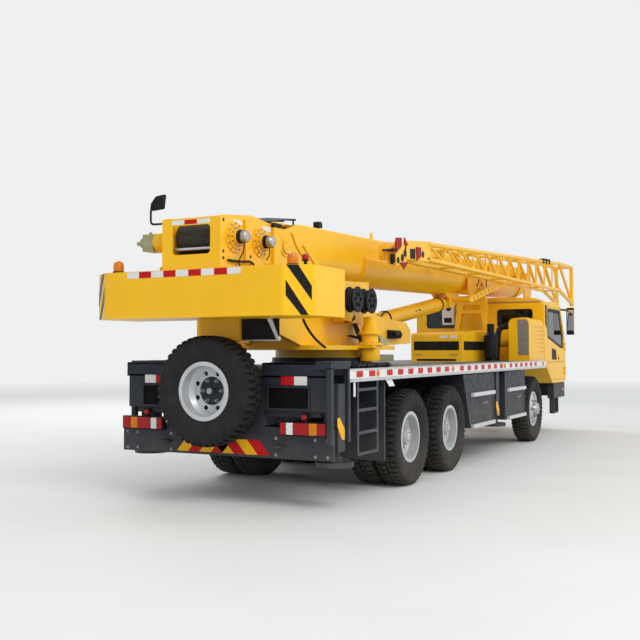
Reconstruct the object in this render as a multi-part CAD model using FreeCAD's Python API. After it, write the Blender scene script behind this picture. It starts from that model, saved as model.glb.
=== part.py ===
import FreeCAD, Part
import math
import os

# Three-axle truck crane with its boom stowed over the driver's cab. Lengths are millimetres.
# X points forward, Y to the left and Z up. The origin is on the ground under the middle of its box.

V = FreeCAD.Vector

# Overall size and axles
OVERALL_LENGTH = 12900.0
REAR_OVERHANG = 2605.0
TANDEM_SPACING = 1350.0
WHEELBASE = 4225.0
REAR_X = -OVERALL_LENGTH / 2
AXLE_3_X = REAR_X + REAR_OVERHANG
AXLE_2_X = AXLE_3_X + TANDEM_SPACING
AXLE_1_X = AXLE_2_X + WHEELBASE
CAB_REAR_X = AXLE_1_X + 875
CAB_LENGTH = 1700.0
CAB_FRONT_X = CAB_REAR_X + CAB_LENGTH

# Wheels
TYRE_RADIUS = 542.5
TYRE_WIDTH = 293.0
RIM_SEAT_RADIUS = 262.0
RIM_FLANGE_RADIUS = 288.0
RIM_WIDTH = 216.0
RIM_WALL = 14.0
OUTER_TYRE_Y = 1103.0
TWIN_PITCH = 322.0
TWIN_DRUM_RADIUS = 200.0
HUB_BORE_RADIUS = 42.0
RUNNING_CLEARANCE = 0.06
HAND_HOLE_RADIUS = 32.0
HAND_HOLE_CIRCLE = 180.0
WHEEL_Z = TYRE_RADIUS

# Steering
KINGPIN_Y = 900.0
KINGPIN_RADIUS = 24.0
KINGPIN_BOSS_RADIUS = 58.0
KINGPIN_BOSS_HALF = 85.0
KNUCKLE_EAR = 34.0

# Chassis frame
FRAME_REAR_X = AXLE_3_X - 2000
FRAME_STEP_X = AXLE_2_X + 2560
FRAME_FRONT_X = CAB_FRONT_X - 195
FRAME_HALF_WIDTH = 480.0
FRAME_PLATE = 14.0
FRAME_BOTTOM_Z = 800.0
FRAME_TOP_Z = 1280.0
RAIL_HALF_WIDTH = 430.0
RAIL_FLANGE = 80.0
RAIL_WEB = 14.0
RAIL_BOTTOM_Z = 640.0
FRONT_RAIL_TOP_Z = 880.0
REAR_END_PLATE = 30.0

# Spare wheel, centre measured from the rearmost point
SPARE_X = 345.0
SPARE_Z = 1130.0
SPARE_DISH = 150.0
SPARE_DISC = 14.0

# Deck
DECK_HALF_WIDTH = 1265.0
DECK_TOP_Z = 1340.0
DECK_THICKNESS = DECK_TOP_Z - FRAME_TOP_Z
DECK_REAR_X = AXLE_3_X - 1730
DECK_FRONT_X = AXLE_1_X + 700
DECK_RAIL_BOTTOM_Z = 1220.0
DECK_RAIL_WIDTH = 30.0

# Outriggers
FRONT_JACK_X = AXLE_2_X + 2000
REAR_JACK_X = AXLE_3_X - 1880
BEAM_PITCH = 250.0
BEAM_WIDTH = 190.0
BEAM_HEIGHT = 230.0
BEAM_WALL = 12.0
BEAM_BOTTOM_Z = 900.0
BEAM_OUTER_Y = 1100.0
BEAM_LENGTH = 2160.0
BEAM_SEAT_GAP = 0.4
BEAM_SIDE_GAP = 6.0
HOUSING_WALL = 16.0
HOUSING_HALF_WIDTH = 1085.0
JACK_COLUMN_Y = 1175.0
JACK_COLUMN = 150.0
JACK_COLUMN_BOTTOM_Z = 560.0
JACK_COLUMN_TOP_Z = 1205.0
JACK_ROD_RADIUS = 48.0
JACK_GLAND_GAP = 0.4
PAD_RADIUS = 185.0
PAD_BOTTOM_Z = 420.0
PAD_THICKNESS = 45.0

# Springs and drive line
SPRING_Y = 390.0
LEAF_WIDTH = 80.0
LEAF = 16.0
FRONT_LEAVES = (300.0, 400.0, 520.0, 650.0)
TANDEM_LEAVES = (785.0, 660.0, 520.0, 380.0)
FRONT_SPRING_Z = WHEEL_Z - 10
AXLE_BEAM_RADIUS = 75.0
TANDEM_SPRING_Z = 640.0
TRUNNION_X = (AXLE_2_X + AXLE_3_X) / 2
TRUNNION_Z = 600.0
TRUNNION_RADIUS = 50.0
SHAFT_RADIUS = 42.0
GEARBOX_X = AXLE_1_X - 1150
GEARBOX_Z = 745.0

# Side equipment
FLAP_BOTTOM_Z = 360.0
FLAP_FRONT_Z = 620.0
TOOL_BOX_BOTTOM_Z = 480.0
TOOL_BOX_TOP_Z = DECK_RAIL_BOTTOM_Z - 20
TOOL_BOX_INNER_Y = 750.0
TOOL_BOX_OUTER_Y = 1250.0
FUEL_TANK_BOTTOM_Z = 560.0
FUEL_TANK_CORNER = 130.0
STRAP_WIDTH = 60.0
STRAP_THICKNESS = 8.0
STEP_DEPTH = 40.0
STEP_HEIGHT = 50.0

# Driver's cab
CAB_HALF_WIDTH = 1200.0
CAB_FLOOR_Z = 920.0
CAB_ROOF_Z = 2400.0
CAB_SKIN = 40.0
CAB_DOOR_GAP = 6.0
CAB_HINGE_SETBACK = 107.0
CAB_HINGE_RADIUS = 12.0
STEERING_WHEEL_RADIUS = 215.0
STEERING_WHEEL_TILT = 31.0
GRILLE_BOTTOM_Z = 1080
GRILLE_TOP_Z = 1440
GRILLE_PITCH = 72
GRILLE_SLOT = 40
GRILLE_DEPTH = 22.0
GRILLE_HALF_WIDTH = 620.0
HEADLAMP_RADIUS = 70.0
INTAKE_TOP_Z = 2080.0
INTAKE_SLOT_PITCH = 70

# Superstructure
SLEW_X = AXLE_3_X + 150
RING_OUTER_RADIUS = 600.0
RING_INNER_RADIUS = 490.0
RING_SPLIT_Z = 1440.0
TURNTABLE_BOTTOM_Z = 1530.0
TURNTABLE_TOP_Z = TURNTABLE_BOTTOM_Z + 50
RING_GAP = 0.3
SIDE_PLATE_Y = 300.0
SIDE_PLATE = 36.0
COUNTERWEIGHT_BOTTOM_Z = 1840.0
COUNTERWEIGHT_TOP_Z = 2300.0
COUNTERWEIGHT_HALF_WIDTH = 1250.0
COUNTERWEIGHT_FRONT_X = REAR_X + 805

# Operator's cab, rear face
OPERATOR_X = SLEW_X - 900

# Hose reels
REEL_Y = -745.0
REEL_Z = 2090.0
REEL_RADIUS = 145.0
REEL_HALF = 55.0

# Boom
BOOM_PIVOT_X = AXLE_3_X - 1350
BOOM_PIVOT_Z = 2620.0
BOOM_ANGLE = 1.5
BOOM_PIN_RADIUS = 60.0
BOOM_HALF_WIDTH = 250.0
BOOM_TOP = 290.0
BOOM_BOTTOM = -310.0
BOOM_WALL = 10.0
SECTION_GAP = 12.0
PAD_GAP = 0.4
BOOM_BASE_END = 9850.0
SECTION_STEP = 140.0
COLLAR_LENGTH = 110.0
COLLAR_WALL = 26.0
SECTION_TAIL_START = 420.0
HEAD_LENGTH = 560.0
HEAD_SHEAVE_ALONG = 400.0
HEAD_SHEAVE_DROP = -420.0
HEAD_SHEAVE_RADIUS = 130.0
FALL_SIDES = (-60.0, 60.0)
SHEAVE_GROOVE = 25.0
SHEAVE_WIDTH = 44.0
ROPE_RADIUS = 9.0
ROPE_SEAT_GAP = 0.4
HOOK_SHEAVE_DROP = 620.0
HOOK_SHEAVE_RADIUS = 112.0
HOOK_GROOVE = 18.0
HOOK_RADIUS = 75.0
HOOK_THICKNESS = 30.0
HOOK_TURN = -90.0
HOOK_BEND = 255.0
WRAPPER_START = 2200.0
WRAPPER_END = 6050.0
WRAPPER_WALL = 32.0

# Stowed lattice jib, then its brackets along the boom's side
JIB_REAR_X = AXLE_3_X + 1450
JIB_FRONT_X = AXLE_3_X + 9050
JIB_NEAR_Y = -580.0
JIB_FAR_Y = -900.0
JIB_BAYS = 12
JIB_SOCKET_SHARE = 0.992
JIB_REAR_Z = {"low": 2700, "high": 2900}
JIB_FRONT_Z = {"low": 2740, "high": 3280}
JIB_FOOT_Z = 2520.0
JIB_TOP_BAR_Z = 3300.0
CHORD_RADIUS = 32.0
LACING_RADIUS = 17.0
BOOM_FLAT_MIDDLE = 110.0
JIB_BRACKETS_X = (AXLE_3_X + 2900, AXLE_3_X + 5300, AXLE_3_X + 7900)
STRUT_END_SHARE = 0.62
STRUT_WIDTH = 50.0
STRUT_HEIGHT = 90.0
STRUT_HOLES = 9

# Luffing cylinder
LUG_ALONG = 5950.0
LUG_DROP = -470.0
CYLINDER_BASE_X = AXLE_3_X + 900
CYLINDER_BASE_Z = 1800.0
BARREL_RADIUS = 112.0
LUFF_ROD_RADIUS = 70.0
EYE_HALF = 80.0
EYE_RADIUS = 88.0
EAR_OFFSET = 6.0
EAR_WIDTH = 40.0
EYE_PIN_RADIUS = 45.0

# Winches
WINCH_Z = 2610.0
REAR_WINCH_X = REAR_X + 265
FRONT_WINCH_X = REAR_WINCH_X + 480
DRUM_FLANGE_RADIUS = 212.0
DRUM_RADIUS = 135.0
DRUM_SHAFT_RADIUS = 40.0
WINCH_SHAFT_END_Y = 215.0

PARTS = {}


def box(x0, x1, y0, y1, z0, z1):
    return Part.makeBox(x1 - x0, y1 - y0, z1 - z0, V(x0, y0, z0))


def rod(start, end, radius):
    first = V(*start)
    run = V(*end) - first
    return Part.makeCylinder(radius, run.Length, first, run)


def outline(corners):
    """Closed wire in the XY plane through (a, b) or (a, b, corner radius) points."""
    starts = []
    ends = []
    middles = []
    for index, corner in enumerate(corners):
        point = V(corner[0], corner[1], 0)
        before = V(*corners[index - 1][:2], 0) - point
        after = V(*corners[(index + 1) % len(corners)][:2], 0) - point
        radius = corner[2] if len(corner) > 2 else 0
        if not radius:
            starts.append(point)
            ends.append(point)
            middles.append(None)
            continue
        before.normalize()
        after.normalize()
        half = before.getAngle(after) / 2
        reach = radius / math.tan(half)
        towards = before + after
        towards.normalize()
        starts.append(point + before * reach)
        ends.append(point + after * reach)
        middles.append(point + towards * (radius / math.sin(half) - radius))
    edges = []
    for index in range(len(corners)):
        if middles[index] is not None:
            edges.append(Part.Arc(starts[index], middles[index], ends[index]).toShape())
        following = starts[(index + 1) % len(corners)]
        if ends[index].distanceToPoint(following) > 1e-6:
            edges.append(Part.LineSegment(ends[index], following).toShape())
    return Part.Wire(edges)


def prism(axis, corners, start, end):
    """Solid of an outline: (y, z) points along x, (x, z) points along y, (x, y) points along z."""
    flat = Part.Face(outline(corners))
    flat.translate(V(0, 0, start))
    solid = flat.extrude(V(0, 0, end - start))
    if axis == "z":
        return solid
    turned = solid.copy()
    if axis == "x":
        turned.rotate(V(0, 0, 0), V(1, 1, 1), 120)
        return turned
    turned.rotate(V(0, 0, 0), V(1, 0, 0), 90)
    return turned.mirror(V(0, 0, 0), V(0, 1, 0))


def revolve_y(profile, x, y, z):
    """Solid of (radius, y) points turned about an axis along y through (x, y, z)."""
    face = Part.Face(Part.makePolygon([V(r, a, 0) for r, a in profile + profile[:1]]))
    solid = face.revolve(V(0, 0, 0), V(0, 1, 0), 360)
    solid.translate(V(x, y, z))
    return solid


def ring_bar(radius, thickness, degrees):
    """Bar of eight flats bent to an arc about the y axis, from the x axis round towards -z."""
    corners = [V(radius + thickness * math.cos(math.radians(45 * step + 22.5)),
                 thickness * math.sin(math.radians(45 * step + 22.5)), 0) for step in range(8)]
    face = Part.Face(Part.makePolygon(corners + corners[:1]))
    return face.revolve(V(0, 0, 0), V(0, 1, 0), degrees)


def sheave(x, y, z, radius, depth, width):
    """Rope sheave about an axis along y: a deep groove between two rims."""
    half = width / 2
    return revolve_y([(0, -half), (radius, -half), (radius, -half * 0.7), (radius - depth, -half * 0.3),
                      (radius - depth, half * 0.3), (radius, half * 0.7), (radius, half), (0, half)],
                     x, y, z)


def mirrored(shape):
    return shape.mirror(V(0, 0, 0), V(0, 1, 0))


def both_sides(*shapes):
    return list(shapes) + [mirrored(shape) for shape in shapes]


def fuse(*shapes):
    return shapes[0].multiFuse(list(shapes[1:])).removeSplitter()


def save(name, *shapes):
    solids = [solid for shape in shapes for solid in shape.Solids]
    PARTS[name] = Part.makeCompound(solids)


def on_boom(shape):
    """Moves a shape from the boom's frame, whose origin is its foot pin, to its place at rest."""
    placed = shape.copy()
    placed.translate(V(BOOM_PIVOT_X, 0, BOOM_PIVOT_Z))
    placed.rotate(V(BOOM_PIVOT_X, 0, BOOM_PIVOT_Z), V(0, -1, 0), BOOM_ANGLE)
    return placed


def boom_point(along, side, up):
    slope = math.radians(BOOM_ANGLE)
    x = BOOM_PIVOT_X + along * math.cos(slope) - up * math.sin(slope)
    z = BOOM_PIVOT_Z + along * math.sin(slope) + up * math.cos(slope)
    return (x, side, z)


# Wheels

def tyre(side_y):
    half = TYRE_WIDTH / 2
    bead = RIM_WIDTH / 2 - RIM_WALL
    profile = [
        (RIM_SEAT_RADIUS, -bead),
        (RIM_FLANGE_RADIUS + 4, -bead),
        (RIM_SEAT_RADIUS + 90, -half + 10),
        (RIM_SEAT_RADIUS + 170, -half),
        (TYRE_RADIUS - 45, -half + 12),
        (TYRE_RADIUS, -half + 35),
        (TYRE_RADIUS, half - 35),
        (TYRE_RADIUS - 45, half - 12),
        (RIM_SEAT_RADIUS + 170, half),
        (RIM_SEAT_RADIUS + 90, half - 10),
        (RIM_FLANGE_RADIUS + 4, bead),
        (RIM_SEAT_RADIUS, bead),
    ]
    return revolve_y(profile, 0, side_y, 0)


def rim(dish, hub_reach, hub_radius):
    """Rim on the left side: the disc's face is dish inside the outer flange, the hub stands out."""
    half = RIM_WIDTH / 2
    barrel = RIM_SEAT_RADIUS - RIM_WALL
    face = half - dish
    join = min(face + 45, half - 20)
    profile = [
        (HUB_BORE_RADIUS, face - 150),
        (HUB_BORE_RADIUS, face + hub_reach - 20),
        (0, face + hub_reach - 20),
        (0, face + hub_reach),
        (hub_radius - 25, face + hub_reach),
        (hub_radius, face),
        (barrel - 50, face),
        (barrel, join),
        (barrel, half),
        (RIM_FLANGE_RADIUS, half),
        (RIM_FLANGE_RADIUS, half - RIM_WALL),
        (RIM_SEAT_RADIUS, half - RIM_WALL),
        (RIM_SEAT_RADIUS, -half + RIM_WALL),
        (RIM_FLANGE_RADIUS, -half + RIM_WALL),
        (RIM_FLANGE_RADIUS, -half),
        (barrel, -half),
        (barrel, join - 25),
        (barrel - 55, face - 20),
        (hub_radius, face - 20),
        (hub_radius, face - 150),
    ]
    wheel = revolve_y(profile, 0, 0, 0)
    for step in range(8):
        turn = math.radians(45 * step)
        x = HAND_HOLE_CIRCLE * math.cos(turn)
        z = HAND_HOLE_CIRCLE * math.sin(turn)
        wheel = wheel.cut(rod((x, face - 60, z), (x, face + 60, z), HAND_HOLE_RADIUS))
    return wheel


def inner_rim():
    """Rim of the inner twin wheel, its disc's edge joined to the drum at its outer side."""
    half = RIM_WIDTH / 2
    barrel = RIM_SEAT_RADIUS - RIM_WALL
    profile = [
        (TWIN_DRUM_RADIUS - 20, half - 30),
        (barrel, half - 45),
        (barrel, -half),
        (RIM_FLANGE_RADIUS, -half),
        (RIM_FLANGE_RADIUS, -half + RIM_WALL),
        (RIM_SEAT_RADIUS, -half + RIM_WALL),
        (RIM_SEAT_RADIUS, half - RIM_WALL),
        (RIM_FLANGE_RADIUS, half - RIM_WALL),
        (RIM_FLANGE_RADIUS, half),
        (barrel, half),
        (barrel, half - 25),
        (TWIN_DRUM_RADIUS - 20, half - 10),
    ]
    return revolve_y(profile, 0, 0, 0)


def brake_drum(outer, inner_y, outer_y):
    return revolve_y([(HUB_BORE_RADIUS, inner_y), (outer, inner_y), (outer, outer_y),
                      (HUB_BORE_RADIUS, outer_y)], 0, 0, 0)


def place_wheel(shape, x, left):
    placed = shape.copy()
    if not left:
        placed = mirrored(placed)
    placed.translate(V(x, 0, WHEEL_Z))
    return placed


FRONT_RIM = rim(-25, 60, 110)
FRONT_RIM.translate(V(0, OUTER_TYRE_Y, 0))
REAR_RIM = rim(150, 120, 110)
REAR_RIM.translate(V(0, OUTER_TYRE_Y, 0))
REAR_INNER = inner_rim()
REAR_INNER.translate(V(0, OUTER_TYRE_Y - TWIN_PITCH, 0))
TWIN_DRUM = brake_drum(TWIN_DRUM_RADIUS, OUTER_TYRE_Y - TWIN_PITCH - RIM_WIDTH / 2 + 20, OUTER_TYRE_Y - 192)
REAR_RIMS = fuse(REAR_RIM, TWIN_DRUM, REAR_INNER)


def wheels():
    for left, side in ((True, "left"), (False, "right")):
        save("front_tyre_" + side, place_wheel(tyre(OUTER_TYRE_Y), AXLE_1_X, left))
        save("front_rim_" + side, place_wheel(FRONT_RIM, AXLE_1_X, left))
        twins = [tyre(OUTER_TYRE_Y), tyre(OUTER_TYRE_Y - TWIN_PITCH)]
        for name, x in (("middle", AXLE_2_X), ("rear", AXLE_3_X)):
            save(name + "_tyres_" + side, *[place_wheel(each, x, left) for each in twins])
            save(name + "_rims_" + side, place_wheel(REAR_RIMS, x, left))


def spare_wheel():
    """Spare wheel across the rear, its dished side to the back."""
    half = RIM_WIDTH / 2
    barrel = RIM_SEAT_RADIUS - RIM_WALL
    face = half - SPARE_DISH
    profile = [
        (140, face),
        (barrel - 40, face),
        (barrel, face + 40),
        (barrel, half),
        (RIM_FLANGE_RADIUS, half),
        (RIM_FLANGE_RADIUS, half - RIM_WALL),
        (RIM_SEAT_RADIUS, half - RIM_WALL),
        (RIM_SEAT_RADIUS, -half + RIM_WALL),
        (RIM_FLANGE_RADIUS, -half + RIM_WALL),
        (RIM_FLANGE_RADIUS, -half),
        (barrel, -half),
        (barrel, face),
        (barrel - 40, face - SPARE_DISC),
        (140, face - SPARE_DISC),
    ]
    wheel = revolve_y(profile, 0, 0, 0)
    for step in range(8):
        turn = math.radians(45 * step + 22.5)
        x = HAND_HOLE_CIRCLE * math.cos(turn)
        z = HAND_HOLE_CIRCLE * math.sin(turn)
        wheel = wheel.cut(rod((x, face - 60, z), (x, face + 60, z), 24))
    shapes = []
    for shape in (tyre(0), wheel):
        spare = shape.copy()
        spare.rotate(V(0, 0, 0), V(0, 0, 1), 90)
        spare.translate(V(REAR_X + SPARE_X, 0, SPARE_Z))
        shapes.append(spare)
    save("spare_tyre", shapes[0])
    save("spare_rim", shapes[1])


# Axles and steering

def axles():
    solids = []
    for x in (AXLE_2_X, AXLE_3_X):
        beam = rod((x, -620, WHEEL_Z), (x, 620, WHEEL_Z), AXLE_BEAM_RADIUS)
        spindle = rod((x, -OUTER_TYRE_Y - 30, WHEEL_Z), (x, OUTER_TYRE_Y + 30, WHEEL_Z),
                      HUB_BORE_RADIUS - RUNNING_CLEARANCE)
        centre = revolve_y([(0, -170), (120, -150), (200, -60), (200, 60), (120, 150), (0, 170)],
                           x, 0, WHEEL_Z)
        solids.append(fuse(beam, spindle, centre))
    boss = rod((AXLE_1_X, KINGPIN_Y, WHEEL_Z - KINGPIN_BOSS_HALF),
               (AXLE_1_X, KINGPIN_Y, WHEEL_Z + KINGPIN_BOSS_HALF), KINGPIN_BOSS_RADIUS)
    bore = rod((AXLE_1_X, KINGPIN_Y, WHEEL_Z - 200), (AXLE_1_X, KINGPIN_Y, WHEEL_Z + 200),
               KINGPIN_RADIUS + RUNNING_CLEARANCE)
    web = prism("x", [(-KINGPIN_Y, WHEEL_Z - 60), (-KINGPIN_Y, WHEEL_Z + 60), (-700, WHEEL_Z + 50),
                      (-520, WHEEL_Z - 10), (520, WHEEL_Z - 10), (700, WHEEL_Z + 50),
                      (KINGPIN_Y, WHEEL_Z + 60), (KINGPIN_Y, WHEEL_Z - 60), (700, WHEEL_Z - 70),
                      (520, WHEEL_Z - 130), (-520, WHEEL_Z - 130), (-700, WHEEL_Z - 70)],
                AXLE_1_X - 45, AXLE_1_X + 45)
    solids.append(fuse(web, boss, mirrored(boss)).cut(bore).cut(mirrored(bore)))
    save("axles", fuse(*solids, *both_sides(*front_spring(), *tandem_spring()), *drive_shafts()))


def leaves(x, bottom_z, half_lengths):
    """Leaves of the left spring, from the lowest to the highest."""
    half = LEAF_WIDTH / 2
    return [box(x - reach, x + reach, SPRING_Y - half, SPRING_Y + half,
                bottom_z + LEAF * step, bottom_z + LEAF * (step + 1))
            for step, reach in enumerate(half_lengths)]


def front_spring():
    top = FRONT_SPRING_Z + LEAF * len(FRONT_LEAVES)
    half = LEAF_WIDTH / 2
    shackle = FRONT_LEAVES[-1] - 30
    hangers = [box(AXLE_1_X + side * shackle - 30, AXLE_1_X + side * shackle + 30,
                   SPRING_Y - half, SPRING_Y + half, top - LEAF, RAIL_BOTTOM_Z)
               for side in (-1, 1)]
    clamp = box(AXLE_1_X - 60, AXLE_1_X + 60, SPRING_Y - half - 10, SPRING_Y + half + 10,
                top, top + LEAF)
    return [*leaves(AXLE_1_X, FRONT_SPRING_Z, FRONT_LEAVES), *hangers, clamp]


def tandem_spring():
    """Spring between the two rear axles, rocking on a trunnion that hangs from the frame."""
    half = LEAF_WIDTH / 2
    top = TANDEM_SPRING_Z + LEAF * len(TANDEM_LEAVES)
    seats = [box(x - 60, x + 60, SPRING_Y - half, SPRING_Y + half, WHEEL_Z, TANDEM_SPRING_Z)
             for x in (AXLE_2_X, AXLE_3_X)]
    saddle = box(TRUNNION_X - 110, TRUNNION_X + 110, SPRING_Y - half, SPRING_Y + half,
                 TRUNNION_Z - 50, TANDEM_SPRING_Z)
    clamp = box(TRUNNION_X - 90, TRUNNION_X + 90, SPRING_Y - half - 10, SPRING_Y + half + 10,
                top, top + LEAF)
    shaft = rod((TRUNNION_X, 240, TRUNNION_Z), (TRUNNION_X, SPRING_Y + half + 25, TRUNNION_Z),
                TRUNNION_RADIUS)
    bracket = prism("y", [(TRUNNION_X - 240, FRAME_BOTTOM_Z), (TRUNNION_X + 240, FRAME_BOTTOM_Z),
                          (TRUNNION_X + 80, TRUNNION_Z - 70, 60),
                          (TRUNNION_X - 80, TRUNNION_Z - 70, 60)], 255, 325)
    return [*leaves(TRUNNION_X, TANDEM_SPRING_Z, TANDEM_LEAVES), *seats, saddle, clamp, shaft,
            bracket]


def drive_shafts():
    """Shafts from the gearbox to the middle axle and on to the rear axle, with their flanges."""
    spans = [((GEARBOX_X - 30, 0, GEARBOX_Z), (AXLE_2_X + 150, 0, WHEEL_Z + 30)),
             ((AXLE_2_X - 150, 0, WHEEL_Z), (AXLE_3_X + 150, 0, WHEEL_Z))]
    solids = [rod((GEARBOX_X, 0, GEARBOX_Z), (GEARBOX_X - 60, 0, GEARBOX_Z), SHAFT_RADIUS + 28)]
    for start, end in spans:
        run = V(*end) - V(*start)
        run.normalize()
        solids.append(rod(start, end, SHAFT_RADIUS))
        for near in (V(*start) + run * 60, V(*end) - run * 140):
            solids.append(rod(tuple(near), tuple(near + run * 50), SHAFT_RADIUS + 28))
    return solids


def knuckle():
    low = WHEEL_Z - KINGPIN_BOSS_HALF - 5
    high = WHEEL_Z + KINGPIN_BOSS_HALF + 5
    x = AXLE_1_X
    reach = KINGPIN_Y + KINGPIN_BOSS_RADIUS + 6
    ears = [prism("z", [(x - 50, KINGPIN_Y - 50, 40), (x + 50, KINGPIN_Y - 50, 40),
                        (x + 60, reach + 30), (x - 60, reach + 30)], bottom, bottom + KNUCKLE_EAR)
            for bottom in (low - KNUCKLE_EAR, high)]
    web = box(x - 60, x + 60, reach, reach + 30, low - KNUCKLE_EAR, high + KNUCKLE_EAR)
    pin = rod((x, KINGPIN_Y, low - KNUCKLE_EAR), (x, KINGPIN_Y, high + KNUCKLE_EAR),
              KINGPIN_RADIUS)
    spindle = rod((x, reach + 10, WHEEL_Z), (x, OUTER_TYRE_Y + 130, WHEEL_Z),
                  HUB_BORE_RADIUS - RUNNING_CLEARANCE)
    arm = prism("z", [(x - 35, KINGPIN_Y + 30), (x - 215, KINGPIN_Y - 40, 20),
                      (x - 215, KINGPIN_Y - 95, 20), (x - 30, KINGPIN_Y - 20)],
                low - KNUCKLE_EAR + 4, low - 6)
    return fuse(ears[0], ears[1], web, pin, spindle, arm)


def steering():
    left = knuckle()
    save("knuckle_left", left)
    save("knuckle_right", mirrored(left))


# Chassis

def housing_span(jack_x):
    return (jack_x - BEAM_WIDTH / 2 - BEAM_SIDE_GAP - HOUSING_WALL,
            jack_x + BEAM_PITCH + BEAM_WIDTH / 2 + BEAM_SIDE_GAP + HOUSING_WALL)


def outrigger_housing(jack_x):
    x0, x1 = housing_span(jack_x)
    z0 = BEAM_BOTTOM_Z - BEAM_SEAT_GAP - HOUSING_WALL
    z1 = BEAM_BOTTOM_Z + BEAM_HEIGHT + BEAM_SIDE_GAP + HOUSING_WALL
    body = box(x0, x1, -HOUSING_HALF_WIDTH, HOUSING_HALF_WIDTH, z0, z1)
    for offset in (0, BEAM_PITCH):
        centre = jack_x + offset
        half = BEAM_WIDTH / 2 + BEAM_SIDE_GAP
        body = body.cut(box(centre - half, centre + half, -HOUSING_HALF_WIDTH - 1,
                            HOUSING_HALF_WIDTH + 1, z0 + HOUSING_WALL, z1 - HOUSING_WALL))
    return body


def housing_envelope(jack_x):
    x0, x1 = housing_span(jack_x)
    z0 = BEAM_BOTTOM_Z - BEAM_SEAT_GAP - HOUSING_WALL
    z1 = BEAM_BOTTOM_Z + BEAM_HEIGHT + BEAM_SIDE_GAP + HOUSING_WALL
    return box(x0, x1, -FRAME_HALF_WIDTH - 1, FRAME_HALF_WIDTH + 1, z0, z1)


def chassis_frame():
    outer = prism("x", [(-FRAME_HALF_WIDTH, FRAME_BOTTOM_Z), (FRAME_HALF_WIDTH, FRAME_BOTTOM_Z),
                        (FRAME_HALF_WIDTH, FRAME_TOP_Z), (-FRAME_HALF_WIDTH, FRAME_TOP_Z)],
                  FRAME_REAR_X, FRAME_STEP_X)
    inner = box(FRAME_REAR_X + FRAME_PLATE, FRAME_STEP_X - FRAME_PLATE,
                -FRAME_HALF_WIDTH + FRAME_PLATE, FRAME_HALF_WIDTH - FRAME_PLATE,
                FRAME_BOTTOM_Z + FRAME_PLATE, FRAME_TOP_Z - FRAME_PLATE)
    pedestal = Part.makeCylinder(RING_OUTER_RADIUS, DECK_TOP_Z + 20 - FRAME_TOP_Z,
                                 V(SLEW_X, 0, FRAME_TOP_Z))
    girder = fuse(outer.cut(inner), pedestal)
    for jack_x in (FRONT_JACK_X, REAR_JACK_X):
        girder = girder.cut(housing_envelope(jack_x))
    rails = prism("y", [(FRAME_STEP_X, FRAME_BOTTOM_Z), (FRAME_STEP_X, FRAME_TOP_Z),
                        (AXLE_1_X - 700, FRAME_TOP_Z, 200), (AXLE_1_X + 300, FRONT_RAIL_TOP_Z, 200),
                        (FRAME_FRONT_X, FRONT_RAIL_TOP_Z), (FRAME_FRONT_X, RAIL_BOTTOM_Z),
                        (AXLE_1_X - 700, RAIL_BOTTOM_Z, 200)],
                  RAIL_HALF_WIDTH - RAIL_FLANGE, RAIL_HALF_WIDTH)
    notch = prism("y", [(FRAME_STEP_X + 20, FRAME_BOTTOM_Z + 16),
                        (FRAME_STEP_X + 20, FRAME_TOP_Z - 16),
                        (AXLE_1_X - 710, FRAME_TOP_Z - 16, 190),
                        (AXLE_1_X + 290, FRONT_RAIL_TOP_Z - 16, 190),
                        (FRAME_FRONT_X - 20, FRONT_RAIL_TOP_Z - 16),
                        (FRAME_FRONT_X - 20, RAIL_BOTTOM_Z + 16),
                        (AXLE_1_X - 690, RAIL_BOTTOM_Z + 16, 190)],
                  RAIL_HALF_WIDTH - RAIL_FLANGE - 1, RAIL_HALF_WIDTH - RAIL_WEB)
    rail = rails.cut(notch)
    cross = [box(x, x + 120, -RAIL_HALF_WIDTH + RAIL_WEB, RAIL_HALF_WIDTH - RAIL_WEB,
                 RAIL_BOTTOM_Z + 30, RAIL_BOTTOM_Z + 150)
             for x in (AXLE_1_X + 700, FRAME_FRONT_X - 160)]
    housings = [outrigger_housing(FRONT_JACK_X), outrigger_housing(REAR_JACK_X)]
    save("chassis_frame", fuse(girder, rail, mirrored(rail), *cross, *housings, *cab_mounts(),
                               *rear_end()))


def cab_mounts():
    return [box(x, x + 140, y - 60, y + 60, FRONT_RAIL_TOP_Z, CAB_FLOOR_Z)
            for x in (CAB_REAR_X + 760, CAB_FRONT_X - 300) for y in (-380, 380)]


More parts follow.
